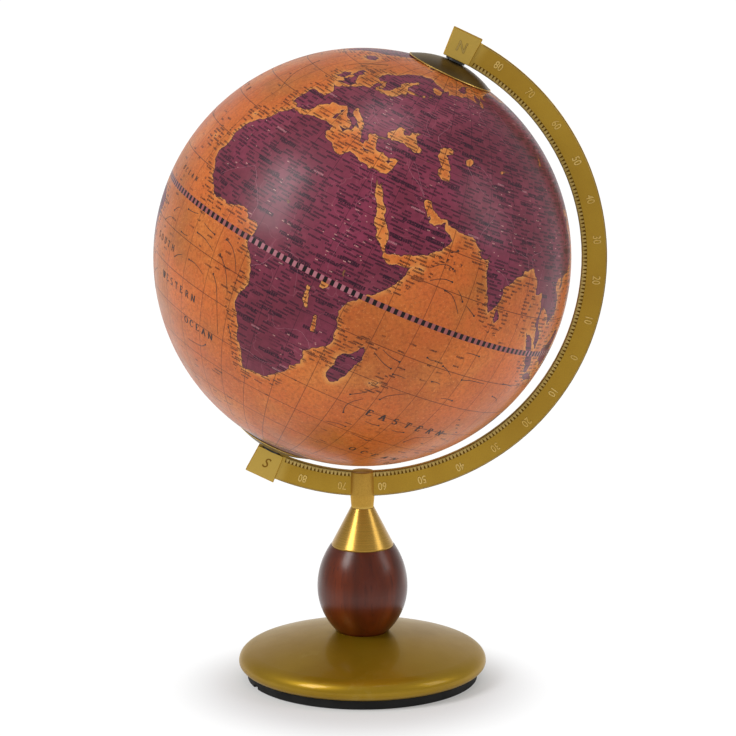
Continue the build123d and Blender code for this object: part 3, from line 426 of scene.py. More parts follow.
def on_land(centres, rings):
    """Even-odd test of many places against all the outlines at once."""
    order = np.argsort(centres[:, 1])
    lon, lat = centres[order, 0], centres[order, 1]
    odd = np.zeros(len(centres), bool)
    for (x0, y0), (x1, y1) in (pair for ring in rings for pair in pairs_round(ring)):
        if y0 == y1:
            continue
        first, last = np.searchsorted(lat, (min(y0, y1), max(y0, y1)))
        crossing = x0 + (lat[first:last] - y0) * (x1 - x0) / (y1 - y0)
        odd[first:last] ^= lon[first:last] < crossing
    found = np.zeros(len(centres), bool)
    found[order] = odd
    return found


LAND, SEA, CARD = range(3)


def join_rings(builder, first, second):
    """Closes the strip between two rings of vertices, and gives its faces."""
    corners = zip(pairs_round(first), pairs_round(second))
    return [builder.faces.new((a, b, d, c)) for (a, b), (c, d) in corners]


def printed_side(builder, rings):
    """The printed faces. Gives the vertices round the south and the north hole, by longitude."""
    tree = coast_tree(rings)
    places, triangles = map_triangles(rings, tree)
    land = on_land(places[triangles].mean(axis=1), rings)
    keys = [
        (round(LON_FIRST if lon > LON_LAST - 1e-3 else lon, 3), round(lat, 3)) for lon, lat in places
    ]
    welded = {}
    for number, key in enumerate(keys):
        welded.setdefault(key, number)
    outside = globe_vectors(places)
    lonlat = builder.loops.layers.uv.new("lonlat")
    shore = builder.verts.layers.float.new("shore_mm")
    verts = {}
    for number in sorted(welded.values()):
        verts[number] = builder.verts.new(np.array(CENTRE) + outside[number] * BALL_RADIUS)
        verts[number][shore] = tree.find(Vector(outside[number]))[2] * (BALL_RADIUS / MM)
    for corners, is_land in zip(triangles, land):
        ends = [verts[welded[keys[c]]] for c in corners]
        if len(set(ends)) < 3 or builder.faces.get(ends):
            continue
        face = builder.faces.new(ends)
        face.material_index = LAND if is_land else SEA
        for loop, corner in zip(face.loops, corners):
            loop[lonlat].uv = places[corner]
    rims = []
    for pole in (-1, 1):
        rim = sorted(key for key in welded if abs(key[1] * pole - LAT_RIM) < RIM_MARGIN)
        rims.append([(key[0], verts[welded[key]]) for key in rim])
    return rims


def card_side(builder, lons):
    """The plain inside, as rings of vertices from the south hole to the north one."""
    rings = []
    for row in range(CARD_ROWS + 1):
        lat = -LAT_RIM + 2 * LAT_RIM * row / CARD_ROWS
        rings.append([builder.verts.new(CENTRE + globe_vector(lon, lat) * SHELL_INSIDE) for lon in lons])
    return rings


def printed_ball(materials):
    """The map shell: the printed outside, and a plain inside joined to it at both polar holes."""
    builder = bmesh.new()
    south, north = printed_side(builder, coastlines())
    rings = card_side(builder, [lon for lon, _ in north])
    rings = [[vert for _, vert in south]] + rings + [[vert for _, vert in north]]
    for first, second in zip(rings, rings[1:]):
        for face in join_rings(builder, first, second):
            face.material_index = CARD
    mesh = mesh_from(builder, "printed_ball")
    for polygon in mesh.polygons:
        polygon.use_smooth = True
    middle = (BALL_RADIUS + SHELL_INSIDE) / 2
    radial = [v.co - CENTRE for v in mesh.vertices]
    mesh.normals_split_custom_set_from_vertices([
        ray.normalized() * (1 if ray.length > middle else -1) for ray in radial
    ])
    ball = piece("printed_ball", mesh, materials, "ball")
    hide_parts("north_map_gores", "south_map_gores")


def mesh_from(builder, name):
    bmesh.ops.recalc_face_normals(builder, faces=builder.faces)
    mesh = bpy.data.meshes.new(name)
    builder.to_mesh(mesh)
    builder.free()
    return mesh


def piece(name, mesh, materials, body):
    made = bpy.data.objects.new(name, mesh)
    bpy.context.scene.collection.objects.link(made)
    for material in materials:
        mesh.materials.append(material)
    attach(made, body)
    return made


def built(name, material, body, slot, *steps):
    """A piece whose mesh is made by steps that each add to it."""
    builder = bmesh.new()
    for step in steps:
        step(builder)
    return piece(name, mesh_from(builder, name), [material], body)


# -------- printed strokes


def add_stroke(builder, path, widths, frame_at, height, sink):
    """A closed bar of ink along a path. frame_at gives a point and its outward direction."""
    rails = []
    for number, spot in enumerate(path):
        here, out = frame_at(*spot)
        before, _ = frame_at(*path[max(number - 1, 0)])
        after, _ = frame_at(*path[min(number + 1, len(path) - 1)])
        side = out.cross((after - before).normalized()).normalized() * (widths[number] / 2)
        corners = (
            here - side - out * sink,
            here - side + out * height,
            here + side + out * height,
            here + side - out * sink,
        )
        rails.append([builder.verts.new(corner) for corner in corners])
    for first, second in zip(rails, rails[1:]):
        join_rings(builder, first, second)
    builder.faces.new(rails[0][::-1])
    builder.faces.new(rails[-1])


def smooth_path(points, steps):
    """A Catmull-Rom line through the points."""
    def between(p, q, r, s, t):
        square = (2 * p - 5 * q + 4 * r - s) * t * t
        return 0.5 * (2 * q + (r - p) * t + square + (3 * q - p - 3 * r + s) * t ** 3)

    ends = [points[0]] + list(points) + [points[-1]]
    path = []
    for corners in zip(ends, ends[1:], ends[2:], ends[3:]):
        for step in range(steps):
            path.append(tuple(between(*values, step / steps) for values in zip(*corners)))
    return path + [points[-1]]


def on_ball(lon, lat):
    out = globe_vector(lon, lat)
    return CENTRE + out * BALL_RADIUS, out


def current_strokes(builder):
    """Ocean currents, broader towards the dot at their ends."""
    for path in outlines(CURRENTS):
        curve = smooth_path(path, 9)
        widths = [CURRENT_LINE * (0.55 + 0.45 * i / (len(curve) - 1)) for i in range(len(curve))]
        add_stroke(builder, curve, widths, on_ball, INK_HEIGHT, INK_HEIGHT)
        lon, lat = path[-1]
        half = CURRENT_DOT / MM / MM_PER_DEGREE / 2 / math.cos(lat * DEGREE)
        dot = [(lon + half * k, lat) for k in (-1, -0.5, 0, 0.5, 1)]
        widths = [CURRENT_DOT * share for share in (0.3, 0.85, 1, 0.85, 0.3)]
        add_stroke(builder, dot, widths, on_ball, INK_HEIGHT * 1.2, INK_HEIGHT)


def river_strokes(builder):
    """Rivers, which thin out towards their sources."""
    rng = random.Random(5)

    def wander():
        return rng.uniform(-RIVER_WANDER, RIVER_WANDER)

    for path in outlines(RIVERS):
        curve = [(x + wander(), y + wander()) for x, y in smooth_path(path, 5)]
        widths = [RIVER_LINE * (1 - 0.55 * i / len(curve)) for i in range(len(curve))]
        add_stroke(builder, curve, widths, on_ball, INK_HEIGHT * 0.7, INK_HEIGHT)


def bow(x, y, across, up, start, end, steps=10):
    """Part of an ellipse, anticlockwise, in degrees."""
    angles = [(start + (end - start) * i / steps) * DEGREE for i in range(steps + 1)]
    return [(x + across * math.cos(a), y + up * math.sin(a)) for a in angles]


def foot(x, y=0.0):
    """A serif."""
    return [(x - 0.13, y), (x + 0.13, y)]


def stem(x):
    return [(x, 0), (x, 1)]


# Letters as pen strokes in a box one unit high.
LETTERS = {
    "A": [[(0.06, 0), (0.38, 1)], [(0.38, 1), (0.72, 0)], [(0.18, 0.34), (0.6, 0.34)], foot(0.06),
          foot(0.72)],
    "C": [bow(0.42, 0.5, 0.38, 0.5, 48, 312), [(0.7, 0.72), (0.7, 0.98)]],
    "E": [stem(0.14), foot(0.14), [(0.02, 1), (0.62, 1), (0.62, 0.8)], [(0.14, 0.52), (0.48, 0.52)],
          [(0.02, 0), (0.66, 0), (0.66, 0.22)]],
    "H": [stem(0.12), stem(0.7), foot(0.12), foot(0.12, 1), foot(0.7), foot(0.7, 1),
          [(0.12, 0.52), (0.7, 0.52)]],
    "N": [stem(0.12), [(0.1, 1), (0.72, 0)], stem(0.72), foot(0.12), foot(0.06, 1), foot(0.72, 1)],
    "O": [bow(0.42, 0.5, 0.38, 0.5, 90, 450, 16)],
    "R": [stem(0.14), foot(0.14), [(0.02, 1), (0.36, 1)], bow(0.36, 0.76, 0.24, 0.24, 90, -90, 8),
          [(0.36, 0.52), (0.14, 0.52)], [(0.36, 0.52), (0.7, 0)], foot(0.7)],
    "S": [bow(0.34, 0.76, 0.26, 0.24, 30, 240, 8) + bow(0.34, 0.26, 0.3, 0.26, 80, -150, 8)],
    "T": [stem(0.36), foot(0.36), [(0.02, 0.8), (0.02, 1), (0.7, 1), (0.7, 0.8)]],
    "U": [[(0.12, 1), (0.12, 0.3)] + bow(0.4, 0.3, 0.28, 0.3, 180, 360, 8) + [(0.68, 1)], foot(0.12, 1),
          foot(0.68, 1)],
    "W": [[(0.04, 1), (0.28, 0)], [(0.28, 0), (0.5, 1)], [(0.5, 1), (0.74, 0)], [(0.74, 0), (0.98, 1)],
          foot(0.04, 1), foot(0.5, 1), foot(0.98, 1)],
}


def pen_widths(path):
    """Broad on upright strokes and fine on level ones, as a broad pen writes."""
    widths = []
    for number in range(len(path)):
        x0, y0 = path[max(number - 1, 0)]
        x1, y1 = path[min(number + 1, len(path) - 1)]
        steep = abs(y1 - y0) / max(math.hypot(x1 - x0, y1 - y0), 1e-6)
        widths.append(THIN_PEN + (THICK_PEN - THIN_PEN) * steep ** 2)
    return widths


def word_strokes(builder):
    """The generic sea names, letter by letter."""
    middle_x, middle_y = LETTER_MIDDLE
    for word, first, last, lat, height in WORDS:
        scale = height / MM_PER_DEGREE
        stretch = scale / math.cos(lat * DEGREE)
        for number, letter in enumerate(word):
            lon = first + (last - first) * number / (len(word) - 1)
            for path in LETTERS[letter]:
                placed = [
                    (lon + (x - middle_x) * stretch, lat + (y - middle_y) * scale) for x, y in path
                ]
                widths = [width * height * MM for width in pen_widths(path)]
                add_stroke(builder, placed, widths, on_ball, INK_HEIGHT, INK_HEIGHT)


# -------- the meridian's raised scale


def arc_outward(lat):
    return EAST * math.cos(lat * DEGREE) + NORTH * math.sin(lat * DEGREE)


def arc_point(radius, lat, side):
    """A place on the arc's flat face, and that face's outward direction. side is -1 at the front."""
    spot = CENTRE + arc_outward(lat) * radius
    spot.y = side * ARC_HALF_THICKNESS
    return spot, Vector((0, side, 0))


def arc_lines(builder, rings, height):
    """Lines along the arc on both faces, given as (radius, width)."""
    for side in (-1, 1):
        for radius, width in rings:
            lats = [ARC_END_LATITUDE * (2 * i / ARC_STEPS - 1) for i in range(ARC_STEPS + 1)]
            path = [(radius, lat, side) for lat in lats]
            add_stroke(builder, path, [width] * len(path), arc_point, height, height)


def scale_teeth(builder):
    """One raised tooth for each degree, broad at its root and with a rounded end."""
    for side in (-1, 1):
        for degree in range(-85, 86):
            path = [(ARC_INSIDE + along * MM, degree, side) for along, _ in TOOTH]
            add_stroke(builder, path, [width * MM for _, width in TOOTH], arc_point, RIDGE, RIDGE)


def figure_mesh(text, height, lift, slant=0.0):
    """Text lying flat and centred: raised by lift, or with no lift a fine wire round its outline."""
    name = f"figure_{text}"
    curve = bpy.data.curves.new(name, "FONT")
    curve.body = text
    curve.size = height / CAPITAL_SHARE
    curve.align_x = "CENTER"
    curve.align_y = "CENTER"
    curve.shear = slant
    curve.resolution_u = 4
    curve.offset = FIGURE_BOLDNESS
    if lift:
        curve.dimensions = "2D"
        curve.fill_mode = "BOTH"
        curve.extrude = lift
    else:
        curve.fill_mode = "NONE"
        curve.bevel_depth = FIGURE_LINE
        curve.bevel_resolution = 1
    holder = bpy.data.objects.new(name, curve)
    bpy.context.scene.collection.objects.link(holder)
    bpy.context.view_layer.update()
    mesh = bpy.data.meshes.new_from_object(holder.evaluated_get(bpy.context.evaluated_depsgraph_get()))
    bpy.data.objects.remove(holder)
    return mesh


def lay_text(builder, mesh, centre, across, up):
    """Copies flat text into the builder at a place, with its own directions."""
    out = across.cross(up).normalized()
    copy = mesh.copy()
    copy.transform(Matrix(((*across, 0), (*up, 0), (*out, 0), (*centre, 1))).transposed())
    builder.from_mesh(copy)
    bpy.data.meshes.remove(copy)


def degree_numbers(builder, lift):
    """0 to 80 each way from the equator, on both faces of the arc, with their heads outwards."""
    texts = {n: figure_mesh(str(n), NUMBER_HEIGHT, lift) for n in range(0, 90, 10)}
    for side in (-1, 1):
        for lat in range(-80, 81, 10):
            spot, out = arc_point(NUMBER_RADIUS, lat, side)
            up = arc_outward(lat)
            lay_text(builder, texts[abs(lat)], spot, up.cross(out) * NUMBER_SQUEEZE, up)


def pole_letter(builder, text, pole, lift, slant=0.0):
    """One pole's letter on both faces of its end block."""
    letter = figure_mesh(text, LETTER_HEIGHT, lift, slant)
    for side in (-1, 1):
        spot = CENTRE + NORTH * (pole * LETTER_RADIUS)
        spot.y = side * BLOCK_HALF_THICKNESS
        lay_text(builder, letter, spot, NORTH.cross(Vector((0, side, 0))) * LETTER_SQUEEZE, NORTH)


def cap_lip(builder, node, pole):
    """A turned lip round the edge of one polar cap."""
    rays = [v.co - CENTRE for v in frame["nodes"][node].data.vertices]
    spots = [(ray.dot(NORTH), (ray - NORTH * ray.dot(NORTH)).length) for ray in rays]
    widest = max(radius for _, radius in spots)
    level = max(height * pole for height, radius in spots if radius > widest - 0.05 * MM)
    rings = []
    for turn in range(CAP_STEPS):
        angle = TURN * turn / CAP_STEPS
        outward = EAST * math.cos(angle) + FRONT * math.sin(angle)
        core = CENTRE + outward * (widest - LIP * 0.4) + NORTH * (pole * level)
        angles = [TURN * step / LIP_STEPS for step in range(LIP_STEPS)]
        rings.append([
            builder.verts.new(core + (outward * math.cos(a) + NORTH * math.sin(a)) * LIP) for a in angles
        ])
    for first, second in pairs_round(rings):
        join_rings(builder, first, second)


# -------- shader nodes


def arithmetic(operation):
    """A method that adds a Math node of this kind."""
    def apply(self, *others):
        return self.math(operation, *others)
    return apply


class Wire:
    """A number inside a node tree. Arithmetic on it adds Math nodes."""

    def __init__(self, tree, socket):
        self.tree = tree
        self.socket = socket

    def math(self, operation, *others):
        node = self.tree.nodes.new("ShaderNodeMath")
        node.operation = operation
        for place, value in zip(node.inputs, (self, *others)):
            feed(self.tree, place, value)
        return Wire(self.tree, node.outputs[0])

    __add__ = arithmetic("ADD")
    __sub__ = arithmetic("SUBTRACT")
    __mul__ = arithmetic("MULTIPLY")
    __truediv__ = arithmetic("DIVIDE")
    __lt__ = arithmetic("LESS_THAN")
    __gt__ = arithmetic("GREATER_THAN")
    fract = arithmetic("FRACT")
    floor = arithmetic("FLOOR")
    abs = arithmetic("ABSOLUTE")
    most = arithmetic("MAXIMUM")

    def flip(self):
        return self * -1 + 1

    def ramp(self, low, high, start=0.0, end=1.0):
        """Runs smoothly from start to end as the value goes from low to high."""
        node = self.tree.nodes.new("ShaderNodeMapRange")
        node.interpolation_type = "SMOOTHSTEP"
        feed(self.tree, node.inputs["Value"], self)
        for name, value in (("From Min", low), ("From Max", high), ("To Min", start), ("To Max", end)):
            node.inputs[name].default_value = value
        return Wire(self.tree, node.outputs["Result"])


def feed(tree, place, value):
    """Links a wire or socket into a node's input, or sets a plain value on it."""
    if isinstance(value, Wire):
        tree.links.new(value.socket, place)
    elif isinstance(value, bpy.types.NodeSocket):
        tree.links.new(value, place)
    elif isinstance(value, tuple) and len(value) == 3 and place.type == "RGBA":
        place.default_value = (*value, 1)
    else:
        place.default_value = value


def srgb(red, green, blue):
    """A colour given as 0 to 255 screen values, in the scene's linear light."""
    def linear(channel):
        level = channel / 255
        return level / 12.92 if level <= 0.04045 else ((level + 0.055) / 1.055) ** 2.4
    return linear(red), linear(green), linear(blue)


def brighter(colour, gain, offset=0.0):
    return tuple(min(1.0, channel * gain + offset) for channel in srgb(*colour))


class Paint:
    """One material under construction. Colours are given as 0 to 255 screen values."""

    def __init__(self, name):
        self.material = bpy.data.materials.new(name)
        self.material.use_nodes = True
        self.tree = self.material.node_tree
        self.shader = self.tree.nodes["Principled BSDF"]
        self.place = self.node("ShaderNodeTexCoord").outputs["Object"]

    def node(self, kind, inputs=None, **settings):
        made = self.tree.nodes.new(kind)
        for name, value in settings.items():
            setattr(made, name, value)
        for name, value in (inputs or {}).items():
            feed(self.tree, made.inputs[name], value)
        return made

    def noise(self, scale, detail=3.0, roughness=0.5, stretch=None, distortion=0.0):
        place = self.place
        if stretch:
            place = self.node("ShaderNodeMapping", {"Vector": place, "Scale": stretch}).outputs["Vector"]
        made = self.node("ShaderNodeTexNoise", {
            "Vector": place, "Scale": scale, "Detail": detail, "Roughness": roughness,
            "Distortion": distortion,
        })
        return Wire(self.tree, made.outputs[0])

    def cracks(self, scale, width):
        """Thin irregular lines, 1 on the line."""
        shift = self.node("ShaderNodeTexNoise", {"Vector": self.place, "Scale": scale * 1.4, "Detail": 3.0})
        moved = self.mix(0.04, self.place, shift.outputs["Color"])
        inputs = {"Vector": moved, "Scale": scale}
        cell = self.node("ShaderNodeTexVoronoi", inputs, feature="DISTANCE_TO_EDGE")
        return Wire(self.tree, cell.outputs["Distance"]).ramp(0, width, 1, 0)

    def random(self, *numbers):
        """Three random numbers for whole-number inputs."""
        vector = self.node("ShaderNodeCombineXYZ")
        for place, value in zip(vector.inputs, numbers):
            feed(self.tree, place, value)
        made = self.node("ShaderNodeTexWhiteNoise", {"Vector": vector.outputs[0]}, noise_dimensions="3D")
        split = self.node("ShaderNodeSeparateColor", {"Color": made.outputs["Color"]})
        return [Wire(self.tree, split.outputs[i]) for i in range(3)]

    def edge_wear(self, high=0.6):
        """1 along convex edges."""
        pointiness = self.node("ShaderNodeNewGeometry").outputs["Pointiness"]
        return Wire(self.tree, pointiness).ramp(0.52, high)

    def mix(self, amount, first, second):
        return self.node("ShaderNodeMixRGB", {"Fac": amount, "Color1": first, "Color2": second}).outputs[0]

    def start(self, amount, first, second):
        """The colour runs between two tints."""
        self.colour = self.mix(amount, srgb(*first), srgb(*second))

    def tint(self, amount, *colour):
        """Lays a tint over the colour so far."""
        self.colour = self.mix(amount, self.colour, srgb(*colour))

    def bump(self, height, distance, strength=1.0):
        normal = self.node("ShaderNodeBump", {"Height": height, "Distance": distance, "Strength": strength})
        feed(self.tree, self.shader.inputs["Normal"], normal.outputs[0])

    def finish(self, **values):
        """Sets the shader's inputs, and gives the material."""
        for name, value in {"Base_Color": self.colour, **values}.items():
            feed(self.tree, self.shader.inputs[name.replace("_", " ")], value)
        return self.material


# -------- map materials


class MapPaint(Paint):
    """A printed material that knows where it is on the map."""

    def __init__(self, name):
        super().__init__(name)
        uv = self.node("ShaderNodeUVMap", uv_map="lonlat")
        split = self.node("ShaderNodeSeparateXYZ", {"Vector": uv.outputs[0]})
        self.lon = Wire(self.tree, split.outputs[0])
        self.lat = Wire(self.tree, split.outputs[1])
        attribute = self.node("ShaderNodeAttribute", attribute_name="shore_mm")
        self.shore = Wire(self.tree, attribute.outputs["Fac"])

    def graticule(self, parallel_width, meridian_width):
        """Lines each 10 degrees, in millimetres of width: (parallels, meridians)."""
        shrink = (self.lat * DEGREE).math("COSINE")
        per_ten = MM_PER_DEGREE * 10
        up = ((self.lat / 10 + 0.5).fract() - 0.5).abs() * per_ten
        over = ((self.lon / 10 + 0.5).fract() - 0.5).abs() * per_ten * shrink
        return up < parallel_width / 2, over < meridian_width / 2

    def labels(self, pitch, cell, letter, height, seed, share, least=0.15, most=0.6):
        """Rows of small printed words along the parallels, all sizes in degrees: 1 where there is ink.

        The letters are made-up strokes, which say nothing. share is how many of the cells have a word, and
        least and most are its length as a share of its cell."""
        row = (self.lat / pitch).floor()
        along = self.lon * ((row + 0.5) * (pitch * DEGREE)).math("COSINE")
        shift = self.random(row, seed, 0.5)[0]
        place = along / cell + shift * 7
        box = place.floor()
        start, length, up = self.random(box, row, seed)
        shown = self.random(box, row, seed + 0.37)[0]
        x = ((place - box) * cell - start * (cell * (0.96 - most))) / letter
        y = ((self.lat / pitch - row) * pitch - up * (pitch - height)) / height
        count = (length * ((most - least) * cell / letter) + least * cell / letter).floor()
        number = x.floor()
        inside = (x > 0) * (x < count) * (y > 0) * (y < 1)
        ink = self.made_up_letter(x - number, y, self.random(number + box * 31, row, seed + 0.71))
        return ink * inside * (shown < share)

    def made_up_letter(self, u, y, chances):
        """Two uprights and three bars in a box one unit each way, each there or not by chance."""
        first, second, third = chances
        level = u < 0.82
        strokes = (
            (u < 0.3) * (first > 0.08),
            (u > 0.52) * level * (second > 0.25),
            (y > 0.72) * (third > 0.3) * level,
            (y < 0.28) * (third < 0.75) * level,
            ((y - 0.5).abs() < 0.14) * (first < 0.65) * level,
        )
        ink = strokes[0]
        for stroke in strokes[1:]:
            ink = ink.most(stroke)
        return ink

    def equator_band(self, pale, dark):
        """The chequered band along the equator."""
        band = self.lat.abs() < 0.76
        dash = (self.lon / 2).fract() < 0.5
        self.colour = self.mix(band, self.colour, self.mix(dash, srgb(*pale), srgb(*dark)))

    def finish_print(self, ink):
        """Paper grain under a thin varnish."""
        grain = self.noise(900, 2, 0.6)
        fibre = self.noise(160, 4, 0.6)
        self.bump(grain * 0.5 + fibre * 0.5 + ink * 0.25, 0.00006, 0.35)
        gloss = self.noise(60, 3).ramp(0.3, 0.7, 0.4, 0.5)
        return self.finish(Roughness=gloss, Specular_IOR_Level=0.2, Coat_Weight=0.24, Coat_Roughness=0.25)


def sea_material():
    """Aged orange paper, paler beside the coasts."""
    paint = MapPaint("printed_sea")
    broad = paint.noise(9, 5, 0.62, distortion=0.6).ramp(0.34, 0.66)
    paint.start(broad, (166, 88, 32), (200, 106, 40))
    paint.tint(paint.noise(30, 5, 0.66, distortion=0.4).ramp(0.3, 0.7) * 0.55, 184, 84, 36)
    paint.tint(paint.noise(17, 4, 0.6).ramp(0.5, 0.72) * 0.55, 198, 122, 54)
    paint.tint(paint.noise(11, 5, 0.65).ramp(0.5, 0.7) * 0.6, 150, 94, 38)
    paint.tint(paint.noise(420, 4, 0.75).ramp(0.42, 0.68) * 0.58, 132, 64, 22)
    paint.tint(paint.noise(620, 3, 0.7).ramp(0.56, 0.7) * 0.35, 222, 150, 84)
    halo = paint.shore.ramp(0.2, 4.6, 1, 0) * paint.noise(40, 3).ramp(0.35, 0.65, 0.1, 1)
    paint.tint(halo * 0.55, 212, 148, 78)
    paint.tint(paint.shore.ramp(0.3, 0.7, 1, 0) * 0.4, 222, 168, 104)
    crack = paint.cracks(38, 0.012) * paint.noise(14, 2).ramp(0.42, 0.6)
    paint.tint(crack * 0.28, 120, 52, 30)
    parallels, meridians = paint.graticule(0.58, 0.5)
    paint.tint(parallels * 0.8, 70, 28, 8)
    paint.tint(meridians * 0.72, 80, 34, 10)
    near = (paint.shore < 8.5) * paint.noise(30, 2).ramp(0.4, 0.46)
    towns = paint.labels(1.0, 4.4, 0.34, 0.48, 3, 0.95, 0.55, 0.9) * near
    far = (paint.shore > 9) * paint.noise(16, 2).ramp(0.46, 0.54)
    notes = paint.labels(2.2, 8, 0.36, 0.5, 8, 0.5, 0.15, 0.4) * far
    ink = towns.most(notes)
    paint.tint(ink * 0.95, 40, 12, 6)
    paint.tint((paint.shore < 0.25) * 0.75, 60, 20, 24)
    paint.equator_band((142, 78, 76), (10, 0, 2))
    return paint.finish_print(ink)


def land_material():
    """Plum land under close rows of small print, with pale relief marks here and there."""
    paint = MapPaint("printed_land")
    paint.start(paint.noise(12, 5, 0.6).ramp(0.32, 0.68), (104, 36, 52), (124, 46, 70))
    paint.tint(paint.noise(240, 4, 0.65).ramp(0.3, 0.7) * 0.35, 70, 20, 36)
    paint.tint(paint.noise(34, 6, 0.72).ramp(0.52, 0.7) * 0.4, 138, 62, 78)
    paint.tint(paint.cracks(22, 0.008) * 0.3, 150, 88, 100)
    parallels, meridians = paint.graticule(0.46, 0.4)
    paint.tint(parallels.most(meridians) * 0.7, 44, 10, 28)
    busy = paint.noise(13, 3, 0.6).ramp(0.34, 0.44)
    towns = paint.labels(0.98, 5.2, 0.32, 0.5, 5, 0.96, 0.35, 0.9) * busy
    ink = towns.most(paint.labels(3.1, 13, 0.62, 0.95, 9, 0.6, 0.25, 0.6))
    paint.tint(ink * 0.96, 30, 2, 24)
    glints = paint.noise(24, 3, 0.6).ramp(0.5, 0.56)
    paint.tint(paint.labels(1.3, 4.2, 0.4, 0.22, 17, 0.5, 0.08, 0.3) * glints * 0.65, 214, 164, 152)
    paint.tint(paint.labels(2.9, 11, 0.42, 0.5, 23, 0.1, 0.2, 0.4) * 0.4, 200, 144, 148)
    paint.tint((paint.shore < 0.28) * 0.75, 52, 16, 30)
    paint.equator_band((158, 98, 108), (10, 0, 4))
    return paint.finish_print(ink)


def ink_material(name, colour, faded):
    paint = Paint(name)
    paint.start(paint.noise(420, 3, 0.7).ramp(0.35, 0.7), colour, faded)
    paint.bump(paint.noise(900, 2), 0.00003, 0.3)
    return paint.finish(Roughness=paint.noise(90).ramp(0.3, 0.7, 0.42, 0.55))


def card_material():
    paint = Paint("grey_card")
    fibre = paint.noise(300, 5, 0.7)
    paint.start(fibre, (150, 138, 120), (186, 174, 152))
    paint.tint(paint.noise(40, 3).ramp(0.4, 0.7) * 0.4, 132, 118, 100)
    paint.bump(fibre, 0.0003, 0.5)
    return paint.finish(Roughness=fibre.ramp(0.2, 0.8, 0.8, 0.95))


# -------- stand materials


def satin_gold(name, dark, light, metallic):
    """Cast and lacquered in a satin gold, with a fine even grain and brighter rubbed edges."""
    paint = Paint(name)
    paint.start(paint.noise(16, 4, 0.55).ramp(0.3, 0.7), dark, light)
    paint.tint(paint.noise(1100, 3, 0.7).ramp(0.35, 0.75) * 0.3, 124, 84, 12)
    paint.tint(paint.edge_wear() * 0.6, 222, 192, 104)
    paint.bump(paint.noise(1900, 3, 0.6), 0.00005, 0.4)
    rough = paint.noise(80, 4, 0.6).ramp(0.3, 0.7, 0.36, 0.46)
    return paint.finish(Metallic=metallic, Roughness=rough, Specular_Tint=(0.9, 0.72, 0.3))


def scale_gold(name, dark, light):
    """The raised scale, painted paler than the arc's own gold and than the field behind it: a painted highlight on
    the raised marks.
    """
    paint = Paint(name)
    tone = paint.noise(60, 4, 0.6).ramp(0.3, 0.7)
    paint.start(tone, dark, light)
    paint.tint(paint.noise(900, 3).ramp(0.45, 0.7) * 0.3, 132, 96, 36)
    paint.bump(paint.noise(1500, 2), 0.00006, 0.4)
    return paint.finish(Metallic=0.85, Roughness=tone.ramp(0, 1, 0.3, 0.42))


def turned_gold():
    """Fine rings from the lathe, round the upright axis."""
    paint = Paint("turned_gold")
    height = Wire(paint.tree, paint.node("ShaderNodeSeparateXYZ", {"Vector": paint.place}).outputs[2])
    rings = paint.node(
        "ShaderNodeTexNoise", {"W": height * 7000, "Scale": 1.0, "Detail": 3.0}, noise_dimensions="1D"
    )
    groove = Wire(paint.tree, rings.outputs[0])
    paint.start(paint.noise(24, 4).ramp(0.3, 0.7), (172, 130, 36), (186, 146, 54))
    paint.tint(groove.ramp(0.5, 0.8) * 0.25, 140, 98, 26)
    paint.bump(groove, 0.00001, 0.3)
    rough = groove.ramp(0.2, 0.8, 0.22, 0.3)
    return paint.finish(Metallic=0.7, Roughness=rough, Coat_Weight=0.4, Coat_Roughness=0.3)


def gold_lacquer():
    """Gold metallic paint under clear lacquer."""
    paint = Paint("gold_lacquer")
    paint.start(paint.noise(14, 4, 0.55).ramp(0.3, 0.7), (144, 112, 12), (156, 124, 22))
    paint.tint(paint.noise(2200, 2, 0.7).ramp(0.4, 0.7) * 0.2, 178, 140, 50)
    paint.tint(paint.noise(38, 5, 0.7).ramp(0.6, 0.75) * 0.12, 196, 178, 110)
    paint.bump(paint.noise(60, 2, 0.4), 0.00006, 0.1)
    rough = paint.noise(45, 4, 0.6).ramp(0.3, 0.7, 0.36, 0.42)
    return paint.finish(
        Metallic=0.6, Roughness=rough, Specular_Tint=(0.8, 0.62, 0.22), Coat_Weight=0.3, Coat_Roughness=0.1
    )


def mahogany():
    """Dark stained wood with its grain upright, under a gloss varnish."""
    paint = Paint("mahogany")
    figure = paint.noise(22, 5, 0.6, stretch=(1, 1, 0.16), distortion=0.8)
    pores = paint.noise(420, 3, 0.7, stretch=(1, 1, 0.035)).ramp(0.56, 0.7)
    paint.start(figure.ramp(0.3, 0.72), (60, 20, 4), (110, 42, 9))
    paint.tint(paint.noise(90, 4, 0.6, stretch=(1, 1, 0.08)).ramp(0.4, 0.7) * 0.5, 74, 26, 14)
    paint.tint(pores * 0.35, 34, 11, 6)
    paint.bump(pores.flip(), 0.00012, 0.25)
    rough = paint.noise(60, 3).ramp(0.3, 0.7, 0.28, 0.4)
    return paint.finish(Roughness=rough, Specular_IOR_Level=0.08, Coat_Weight=0.6, Coat_Roughness=0.26)


def metal(name, dark, light, rough_low, rough_high, grain=600):
    """A plain metal with patches of tarnish and bright rubbed edges."""
    paint = Paint(name)
    tone = paint.noise(35, 5, 0.6).ramp(0.3, 0.7)
    paint.start(tone, dark, light)
    paint.tint(paint.noise(grain, 4, 0.7).ramp(0.5, 0.75) * 0.35, *dark)
    paint.colour = paint.mix(paint.edge_wear() * 0.6, paint.colour, brighter(light, 1.7))
    paint.bump(paint.noise(grain * 2, 3), 0.00006, 0.4)
    return paint.finish(Metallic=1.0, Roughness=tone.ramp(0, 1, rough_low, rough_high))


